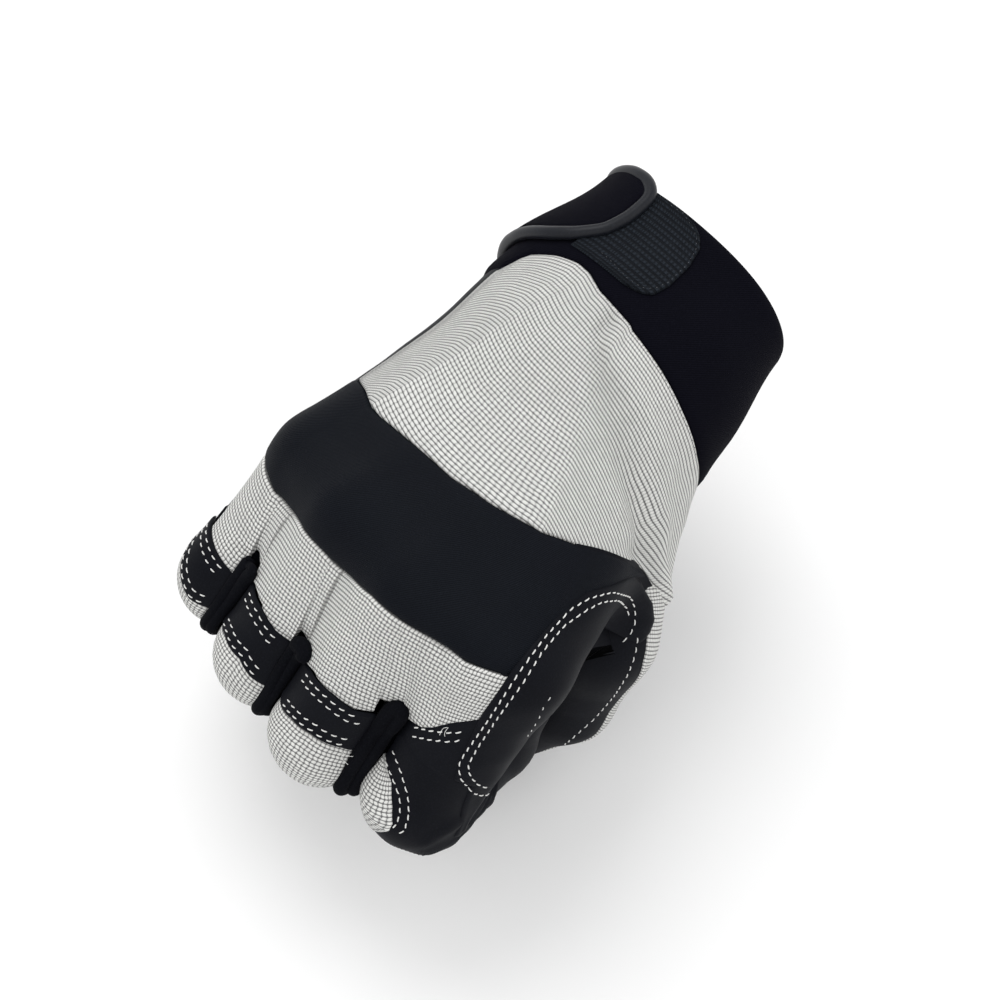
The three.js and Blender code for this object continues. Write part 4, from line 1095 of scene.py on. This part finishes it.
# A closed tube along a line, for rolled edges, piping and threads: half as wide and high as given.
def tubeMesh(line, normals, half, high, sides=14):
    along = unit(np.gradient(line, axis=0))
    across = unit(np.cross(normals, along))
    up = np.cross(along, across)
    a = np.linspace(0, 2 * math.pi, sides, endpoint=False)
    half, high = np.broadcast_to(half, len(line)), np.broadcast_to(high, len(line))
    ring = line[:, None] + across[:, None] * (np.cos(a)[None, :, None] * half[:, None, None]) \
        + up[:, None] * (np.sin(a)[None, :, None] * high[:, None, None])
    n = len(line)
    at = np.arange(n * sides).reshape(n, sides)
    beside = np.roll(at, -1, axis=1)
    faces = np.stack([at[:-1], at[1:], beside[1:], beside[:-1]], -1).reshape(-1, 4)
    verts = ring.reshape(-1, 3)
    ends = []
    for row, way in ((0, 1), (n - 1, -1)):
        centre, loop = len(verts), at[row][::way]
        verts = np.vstack([verts, line[row]])
        ends.append(np.stack([np.full(sides, centre), loop, np.roll(loop, -1), np.roll(loop, -1)], -1))
    uv = np.stack([np.broadcast_to(a * 2, (n, sides)).ravel(), np.repeat(lengthsAlong(line), sides)], -1)
    uv = np.vstack([uv, uv[[0]], uv[[-1]]])
    middle = len(faces) // 2
    p = verts[faces[middle]]
    outward = np.cross(p[1] - p[0], p[2] - p[0]) @ (p[0] - line[middle // sides])
    every = np.vstack([faces] + ends)
    return verts, every if outward > 0 else every[:, ::-1], uv


# Several meshes as one object; a quad that names a corner twice becomes a triangle.
def joinMeshes(name, parts, finish):
    starts = np.cumsum([0] + [len(verts) for verts, _, _ in parts])
    faces = np.vstack([face + start for (_, face, _), start in zip(parts, starts)]).tolist()
    faces = [[k for j, k in enumerate(face) if k not in face[:j]] for face in faces]
    faces = [face for face in faces if len(face) > 2]
    verts, uv = (np.vstack([part[k] for part in parts]) for k in (0, 2))
    return addMesh(name, verts, faces, uv, (finish,))


# Between the fingers: a black strip down the side of each, its two edges rolled up proud and meeting
# in a bend at the top. The borders are angles on the two fingers at each place.
gussets = {
    "half": 2.4, "high": 2.2, "rise": 1.5, "thin": 1.6, "slim": 0.45, "last": 9.1, "wallEnd": 9.2,
    "wallAngles": (2, 75), "wallTop": 0.1, "wallUnder": 1.1,
    "pairs": {
        "little_ring": {"near": [(4.0, 12), (4.4, 14), (5.0, 16), (5.6, 22), (6.2, 36), (9.2, 45)],
                        "far": [(4.0, -50), (4.4, -58), (5.0, -68), (5.6, -72), (6.2, -70), (9.2, -68)]},
        "ring_middle": {"near": [(4.0, 27), (5.0, 30), (5.6, 33), (6.2, 42), (9.2, 50)],
                        "far": [(4.0, -46), (4.6, -56), (5.0, -66), (5.6, -70), (6.2, -66), (9.2, -64)]},
        "middle_index": {"near": [(3.66, 50), (4.2, 54), (5.0, 54), (5.6, 54), (6.2, 56), (9.2, 58)],
                         "far": [(3.66, -38), (4.2, -46), (5.0, -50), (5.6, -56), (6.2, -56), (9.2, -58)]},
    },
}


def besideFinger(finger, border):
    places = np.concatenate([np.linspace(border[0][0], 5, 16)[:-1], np.linspace(5, 6, 26)[:-1],
                             np.linspace(6, gussets["last"], 30)])
    return onSurface(skins[finger], places, table(border, places))


def rolledEdges(name, near, far):
    (nearPoints, nearNormals), (farPoints, farNormals) = near, far
    up = unit(nearNormals + farNormals)
    along = unit(np.gradient((nearPoints + farPoints) / 2, axis=0))
    gap = farPoints - nearPoints
    gap = gap - along * dot(gap, along)[:, None]
    across, width = unit(gap), np.linalg.norm(gap, axis=-1)
    half = np.clip(width / 3.5, gussets["thin"], gussets["half"])
    inset = half
    if name == "little_ring":  # its two rolls lie together at the top and part further down
        parted = smoothStep(np.arange(len(half)), 0, 16)
        half = half * (gussets["slim"] + (1 - gussets["slim"]) * parted)
        inset = half * parted + (width / 2 - 0.5) * (1 - parted)
    nearLine = nearPoints + across * inset[:, None] + up * gussets["rise"]
    farLine = farPoints - across * inset[:, None] + up * gussets["rise"]
    bend = (nearLine[0] + farLine[0]) / 2 - along[0] * np.linalg.norm(farLine[0] - nearLine[0]) / 2
    line = np.vstack([nearLine[::-1], bend[None], farLine])
    normal = np.vstack([up[::-1], up[:1], up])
    widths = np.concatenate([half[::-1], half[:1], half])[:, None]
    both = rounded(evenly(np.hstack([line, normal, widths]), 1.0))
    half = both[:, 6]
    return tubeMesh(both[:, :3], unit(both[:, 3:6]), half, half * gussets["high"] / gussets["half"], 18)


def gussetWall(finger, border, side):
    rowPlaces = np.linspace(border[0][0], gussets["wallEnd"], 90)
    angles = table(border, rowPlaces)[:, None] + side * np.linspace(*gussets["wallAngles"], 20)[None, :]
    points, normals = onSurface(skins[finger], np.broadcast_to(rowPlaces[:, None], angles.shape), angles)
    verts, faces, _ = walled(points + gussets["wallTop"] * normals, points - gussets["wallUnder"] * normals,
                             normals)
    return verts, faces, verts[:, :2]


for name, borders in gussets["pairs"].items():
    one, other = name.split("_")
    parts = [rolledEdges(name, besideFinger(one, borders["near"]), besideFinger(other, borders["far"])),
             gussetWall(one, borders["near"], 1), gussetWall(other, borders["far"], -1)]
    dress(joinMeshes("fourchette." + name, parts, "felt"), "fourchette_" + name)
print("stage: the strips between the fingers are made")

# The grey strip along the thumb (edges as place, angle) and the black rest of the thumb, left out
# under the strip and inside the hand.
thumbStrip = {
    **grey, "material": "greyBack", "top": 0.45, "drop": 0.6, "folds": (0.12, 13, 51), "span": (0.7, 4.68),
    "near": [(0.7, -8), (0.8, -6), (1.05, 6), (1.26, 10), (1.46, 11), (2.01, 20), (2.97, 18), (3.73, 18),
             (4.23, 19), (4.7, 24)],
    "far": [(0.7, 62), (3.0, 62), (4.0, 50), (4.7, 24)],
}
places, angle, points, normals = rowGrid(
    thumbCover, np.linspace(*thumbStrip["span"], 120), thumbStrip["near"], thumbStrip["far"], 40, 16)
clothSheet("thumbBack", "thumb_back", points, normals, thumbStrip, relief=waves(points, *thumbStrip["folds"]))

thumbPalm = {"folds": (0.16, 13, 55), "deep": 2.5, "rootEnd": 2.2, "underStrip": ((20, 52), (0.8, 3.6))}
rowPlaces = np.concatenate([np.linspace(0.62, 5, 150), np.linspace(5, 5.995, 16)[1:]])
angle, places = np.meshgrid(np.arange(0, 360, 3.0), rowPlaces)
points, normals = onSurface(thumbCover, places, angle)
(lowAngle, highAngle), (lowPlace, highPlace) = thumbPalm["underStrip"]
hidden = (bodyField(points) < -thumbPalm["deep"]) & (places < thumbPalm["rootEnd"])
hidden |= (angle > lowAngle) & (angle < highAngle) & (places > lowPlace) & (places < highPlace)
clothSheet("thumbPalm", "thumb_palm", points, normals, thumbPalm, relief=waves(points, *thumbPalm["folds"]),
           wraps=True, keep=~hidden[:-1])

# The long patch between index finger and thumb, in rows of place and the turns of its two edges.
saddle = {
    "thick": 1.2, "top": 1.1, "roll": 1.3, "drop": 0.9, "folds": (0.25, 10, 61),
    "ridge": {"high": 0.4, "at": 0.6, "width": 0.2},
    "rows": ((1.56, 197, 202), (1.6, 189, 204), (1.66, 182, 205), (1.74, 174, 206), (1.84, 163, 205),
             (2.0, 154.5, 202), (2.3, 153, 197), (2.7, 153, 192), (3.2, 153.5, 190), (3.8, 153, 189),
             (4.4, 154.5, 188), (4.8, 159, 187), (5.0, 164, 186), (5.2, 167, 186), (5.45, 173, 185),
             (5.6, 178, 184)),
}


# The hand's skin as far as the knuckle and the index finger's beyond it.
def besideThumb(places, turns):
    low = onSurface(handCover, np.minimum(places, 3), turns)
    high = onSurface(indexCover, np.maximum(places, 3), indexAngle(turns))
    onHand = (places < 3)[..., None]
    return np.where(onHand, low[0], high[0]), unit(np.where(onHand, low[1], high[1]))


rowsAt = np.array(saddle["rows"])
order = np.linspace(0, len(rowsAt) - 1, 110)
rowPlaces, nearTurn, farTurn = readAt(rowsAt, np.arange(len(rowsAt)), order).T
share = steps(44, 22, 1.2)[None, :]
turns = nearTurn[:, None] * (1 - share) + farTurn[:, None] * share
points, normals = besideThumb(np.broadcast_to(rowPlaces[:, None], turns.shape), turns)
ridge = saddle["ridge"]
crest = ridge["high"] * np.exp(-((share - ridge["at"]) / ridge["width"]) ** 2)
clothSheet("saddlePatch", "saddle_patch", points, normals, saddle,
           relief=crest + waves(points, *saddle["folds"]))
print("stage: the thumb and the patch beside it are made")

# The cuff's closure: hook tape on the cuff and the strap over it, each from a straight hidden end to a
# rounded one (place, turn).
hook = {"material": "hook", "slot": "hook_tape", "top": 1.7, "thick": 1.0, "roll": 0.9, "drop": 0.8,
        "evenRows": True, "span": (-0.03, 0.745), "near": levelEdge(34),
        "far": [(-0.03, 68), (0.0, 92), (0.04, 106), (0.11, 118), (0.28, 126), (0.51, 128), (0.65, 123),
                (0.71, 111), (0.745, 87)]}
hookPlaces = turnSteps(*hook["span"], 40, 27)
places, angle, points, normals = rowGrid(handCover, hookPlaces, hook["near"], hook["far"], 70, 50)
clothSheet("hookPatch", "hook_patch", points, normals, hook)

strap = {"material": "neoprene", "slot": "neoprene", "top": 3.4, "thick": 2.6, "roll": 1.6, "drop": 1.2,
         "bulge": 0.5, "folds": (0.15, 20, 71), "fill": 0.4, "span": (-0.06, 0.86), "near": levelEdge(-96),
         "far": [(-0.06, 24), (-0.03, 32), (0.05, 37), (0.3, 38), (0.5, 37), (0.65, 32), (0.75, 25),
                 (0.82, 11), (0.86, -6)]}
strapPlaces = turnSteps(*strap["span"], 40, 30)
places, angle, points, normals = rowGrid(handCover, strapPlaces, strap["near"], strap["far"], 90, 90)
closureStrap = clothSheet("closureStrap", "closure_strap", points, normals, strap,
                          relief=waves(points, *strap["folds"]))

# Piping round the strap's free edge: along one side, round the end and back along the other.
piping = {"radius": 1.7, "out": 0.9, "top": 2.3, "start": -86}
firstPlace, lastPlace = strap["span"]
edgePlaces = np.concatenate([np.full(30, firstPlace), strapPlaces, np.full(30, lastPlace)])
edgeTurns = np.concatenate([np.linspace(piping["start"], strap["far"][0][1], 31)[:-1],
                            table(strap["far"], strapPlaces),
                            np.linspace(strap["far"][-1][1], piping["start"], 31)[1:]])
edgePoints, edgeNormals = onSurface(handCover, edgePlaces, edgeTurns)
both = rounded(evenly(np.hstack([edgePoints + edgeNormals * piping["top"], edgeNormals]), 1.0), 4)
line, normal = both[:, :3], unit(both[:, 3:])
outward = unit(np.cross(np.gradient(line, axis=0), normal))
if dot(outward, line - points.reshape(-1, 3).mean(0)).mean() < 0:
    outward = -outward
tube = tubeMesh(line + outward * piping["out"], normal, piping["radius"], piping["radius"], 18)
dress(joinMeshes("strapPiping", [tube], "satin"), "strap_piping")
print("stage: the cuff's closure is made")


# All the cloth so far as one surface that stitches can be laid on.
def coverTree(pieces):
    verts, faces, offset = [], [], 0
    for piece in pieces:
        mesh = piece.data
        spots = np.empty(len(mesh.vertices) * 3)
        mesh.vertices.foreach_get("co", spots)
        verts.append(spots.reshape(-1, 3) * 1000)
        faces += [[k + offset for k in polygon.vertices] for polygon in mesh.polygons]
        offset += len(mesh.vertices)
    return BVHTree.FromPolygons(np.vstack(verts).tolist(), faces)


topCloth = coverTree([o for o in bpy.context.scene.objects if o.type == "MESH" and o.data.materials
                      and o.data.materials[0].name in materials])


def laidOn(points, normals, above=5.0):
    laid = []
    for p, n in zip(points, normals):
        hit = topCloth.ray_cast(Vector(p + n * above), Vector(-n), above * 2)
        laid.append(np.array(hit[0]) if hit[0] is not None else p + n)
    return np.array(laid)


# The camera stands at the photograph's angle; some seams are laid where its frame shows them.
camera = {"towards": (0.27, 0.33, 0.905), "target": (0.082, 0.007, -0.008), "distance": 0.74, "lens": 108,
          "sensor": 36, "roll": (-0.75, -0.66), "shift": (0.022, 0.012), "frame": 1000}
target = np.array(camera["target"])
viewBack = unit(np.array(camera["towards"]))
level = unit(np.array([1.0, 0, 0]) - viewBack * viewBack[0])
upright = np.cross(viewBack, level)
rollAside, rollUp = unit(np.array(camera["roll"]))
viewRight, viewUp = rollAside * level - rollUp * upright, rollUp * level + rollAside * upright
eyePlace = target + viewBack * camera["distance"]


# A row of places in the frame, carried onto the cloth that the camera sees there.
def fromFrame(row):
    spots, ups = [], []
    for x, y in evenly(np.array(row, float), 1.5):
        aside = x / camera["frame"] - 0.5 + camera["shift"][0]
        above = 0.5 - y / camera["frame"] + camera["shift"][1]
        way = unit(-viewBack + (viewRight * aside + viewUp * above) * camera["sensor"] / camera["lens"])
        hit = topCloth.ray_cast(Vector(eyePlace * 1000), Vector(way))
        if hit[0] is not None:
            spots.append(np.array(hit[0]))
            ups.append(np.array(hit[1]) * (1 if np.array(hit[1]) @ way < 0 else -1))
    both = rounded(np.hstack([np.array(spots), np.array(ups)]))
    return both[:, :3], unit(both[:, 3:])


# Each stitch is a short bowed thread, thickest in its middle, its ends sunk in the cloth.
thread = {"finish": "thread", "length": 1.9, "gap": 0.6, "half": 0.19, "slant": 8, "sideways": 3,
          "arch": (-0.28, 0.08, 0.16, 0.08, -0.28), "taper": (0.55, 0.95, 1, 0.95, 0.55)}


def stitchParts(points, normals, look, seed):
    rng = np.random.default_rng(seed)
    both = evenly(np.hstack([points, normals]), 0.35)
    far = lengthsAlong(both[:, :3])
    both[:, 3:] = unit(both[:, 3:])
    arch, width = np.array(look["arch"]), look["half"] * np.array(look["taper"])
    made, at = [], look["gap"] / 2
    while at + look["length"] < far[-1]:
        before, middle, after = readAt(both, far, at + look["length"] / 2 + np.array([-0.6, 0, 0.6]))
        p, n = middle[:3], unit(middle[3:])
        ahead = after[:3] - before[:3]
        ahead = unit(ahead - n * (ahead @ n))
        ahead = turned(ahead, n, math.radians(look["slant"] + rng.normal(0, look["sideways"])))
        t = np.linspace(-0.5, 0.5, 5) * look["length"] * rng.uniform(0.9, 1.08)
        up = np.broadcast_to(n, (5, 3))
        laid = rounded(laidOn(p + ahead * t[:, None], up), 2)
        made.append(tubeMesh(laid + n * arch[:, None], up, width, width * 0.8, 6))
        at += look["length"] + look["gap"] * rng.uniform(0.85, 1.15)
    return made


def sewn(name, lines, **own):
    look, parts = {**thread, **own}, []
    for k, (points, normals) in enumerate(lines):
        parts += stitchParts(points, normals, look, k + 7)
    dress(joinMeshes(name, parts, look["finish"]))


def onSkin(skin, rows):  # places count 50 times as much as degrees when the row is divided evenly
    weight = np.array([20.0, 0.4])
    rows = evenly(np.array(rows, float) * weight, 0.4) / weight
    return onSurface(skin, rows[:, 0], rows[:, 1])


# A row of places that lies so many millimetres further along the skin than an edge.
def furtherOn(skin, edge, angles, distance):
    places = []
    for angle in angles:
        column = skin.read(skin.along, skin.places, np.full(len(skin.places), angle))
        start = np.interp(table(edge, angle), skin.places, column)
        places.append(np.interp(start + distance, column, skin.places))
    return np.array(places)


# Two rows of stitches inside each edge of the finger bands.
bandStitches = {"little": (-70, 8), "ring": (-54, 20), "middle": (-42, 40), "inset": (1.4, 3.5)}
lines = []
for name in bandedFingers:
    angles = np.linspace(*bandStitches[name], 30)
    for side, way in (("first", 1), ("last", -1)):
        for distance in bandStitches["inset"]:
            places = furtherOn(skins[name], bands[name][side], angles, way * distance)
            lines.append(onSurface(skins[name], places, angles))
sewn("stitches.fingers", lines)

# Rows that are laid through places in the camera's frame: beside the teardrop, round the long patch,
# a few fine stitches on its crest, and one row along the thumb.
frameRows = {
    "index": (
        ((413, 727), (430, 731), (450, 733), (466, 732)),
        ((411, 736), (430, 740), (450, 742), (462, 740)),
        ((392, 749), (401, 772), (408, 796), (409, 815), (404, 832), (391, 834)),
        ((385, 760), (393, 779), (400, 798), (400, 815), (395, 827), (386, 829)),
    ),
    "saddle": (
        ((621, 643), (630, 635), (635, 623), (635, 609), (631, 597), (613, 592), (590, 598), (571, 609),
         (545, 637), (520, 671), (489, 719), (464, 755), (459, 765), (460, 778), (473, 793), (483, 796),
         (494, 790)),
        ((629, 617), (627, 608), (619, 600), (602, 602), (585, 611), (564, 626), (542, 652), (523, 683),
         (499, 716), (478, 747), (468, 765), (470, 776), (478, 785), (489, 788)),
    ),
    "crest": (((553, 694), (544, 705), (540, 716), (533, 728), (526, 738)),),
    "thumb": (((638, 636), (635, 655), (628, 674), (614, 696), (594, 719), (570, 740), (550, 755), (531, 769),
               (512, 779)),),
}
frameThreads = {"crest": {"length": 1.3, "gap": 1.6, "half": 0.13}, "thumb": {"half": 0.18}}
for name, rows in frameRows.items():
    sewn("stitches." + name, [fromFrame(row) for row in rows], **frameThreads.get(name, {}))

# Fine dark threads of the overlocked seam at the cuff, and the thin border of the closure.
fineThreads = {"finish": "darkThread", "length": 0.6}
seamRow = [(place + 0.012, turn) for turn, place in seams["cuff"] if 20 <= turn <= 180]
sewn("stitches.cuffSeam", [onSkin(handCover, seamRow)], **fineThreads, gap=1.5, half=0.08, slant=30)
hookBorder = [(0.0, 44), (-0.01, 66), (0.03, 90), (0.07, 104), (0.15, 116), (0.29, 123), (0.5, 124.5),
              (0.62, 119), (0.68, 108), (0.7, 87), (0.68, 60), (0.67, 42)]
sewn("stitches.hook", [onSkin(handCover, hookBorder)], **fineThreads, gap=1.0, half=0.06, slant=0)
print("stage: the stitches are sewn")

# Loose ends of thread: where each pair starts on its skin and which way its ends run.
looseThreads = {
    "index": {"skin": indexCover, "spot": (3.36, 14), "ways": ((1.6, 1.2, 0.3), (2.2, -0.4, 0.2))},
    "middle": {"skin": skins["middle"], "spot": (5.24, 40), "ways": ((-1.5, 2.2, 0.4), (1.2, 2.8, 0.2))},
    "radius": 0.07, "curl": 0.5,
}


def looseThread(name, own):
    spot, up = onSurface(own["skin"], *own["spot"])
    start, radius, parts = laidOn([spot], [up])[0], looseThreads["radius"], []
    for k, way in enumerate(own["ways"]):
        share = np.linspace(0, 1, 12)[:, None]
        bend = unit(np.cross(way, up))
        curl = bend * np.sin(share * (3 + k)) * looseThreads["curl"]
        line = start + np.array(way) * share + curl + up * (0.3 + 0.8 * share)
        parts.append(tubeMesh(line, np.broadcast_to(unit(up + bend * 0.3), line.shape), radius, radius, 6))
    dress(joinMeshes("looseThread." + name, parts, "thread"))


for name in ("index", "middle"):
    looseThread(name, looseThreads[name])

studio = {
    "floor": (0.97, 0.97, 0.97), "drop": -0.0918, "reach": 4, "world": 0.86,
    "lights": {"key": {"place": (-0.25, -0.55, 1.15), "size": 0.9, "power": 6.5},
               "fill": {"place": (0.75, 0.55, 0.9), "size": 1.2, "power": 1.5},
               "side": {"place": (-0.7, 0.6, 0.5), "size": 0.8, "power": 1}},
}
floorMesh = bpy.data.meshes.new("floor")
floorMesh.from_pydata([(x * studio["reach"], y * studio["reach"], studio["drop"])
                       for x, y in ((-1, -1), (1, -1), (1, 1), (-1, 1))], [], [(0, 1, 2, 3)])
floor = bpy.data.objects.new("floor", floorMesh)
bpy.context.scene.collection.objects.link(floor)
floorMesh.materials.append(Finish("floorPaint").coat(studio["floor"], 0.9, Specular_IOR_Level=0.1))

world = bpy.data.worlds.new("studio")
bpy.context.scene.world = world
world.use_nodes = True
world.node_tree.nodes["Background"].inputs["Color"].default_value = (1, 1, 1, 1)
world.node_tree.nodes["Background"].inputs["Strength"].default_value = studio["world"]
bpy.context.scene.view_settings.view_transform = "Standard"

for name, look in studio["lights"].items():
    lamp = bpy.data.lights.new(name, "AREA")
    lamp.shape, lamp.size, lamp.energy = "DISK", look["size"], look["power"]
    holder = bpy.data.objects.new(name, lamp)
    holder.location = look["place"]
    holder.rotation_euler = Vector(target - np.array(look["place"])).to_track_quat("-Z", "Y").to_euler()
    bpy.context.scene.collection.objects.link(holder)

eye = bpy.data.cameras.new("camera")
eye.lens, eye.sensor_width, eye.sensor_fit = camera["lens"], camera["sensor"], "HORIZONTAL"
eye.shift_x, eye.shift_y = camera["shift"]
holder = bpy.data.objects.new("camera", eye)
holder.matrix_world = Matrix([(viewRight[k], viewUp[k], viewBack[k], eyePlace[k]) for k in range(3)]
                             + [(0, 0, 0, 1)])
bpy.context.scene.collection.objects.link(holder)
bpy.context.scene.camera = holder
print("stage: the floor, the lights and the camera are set")
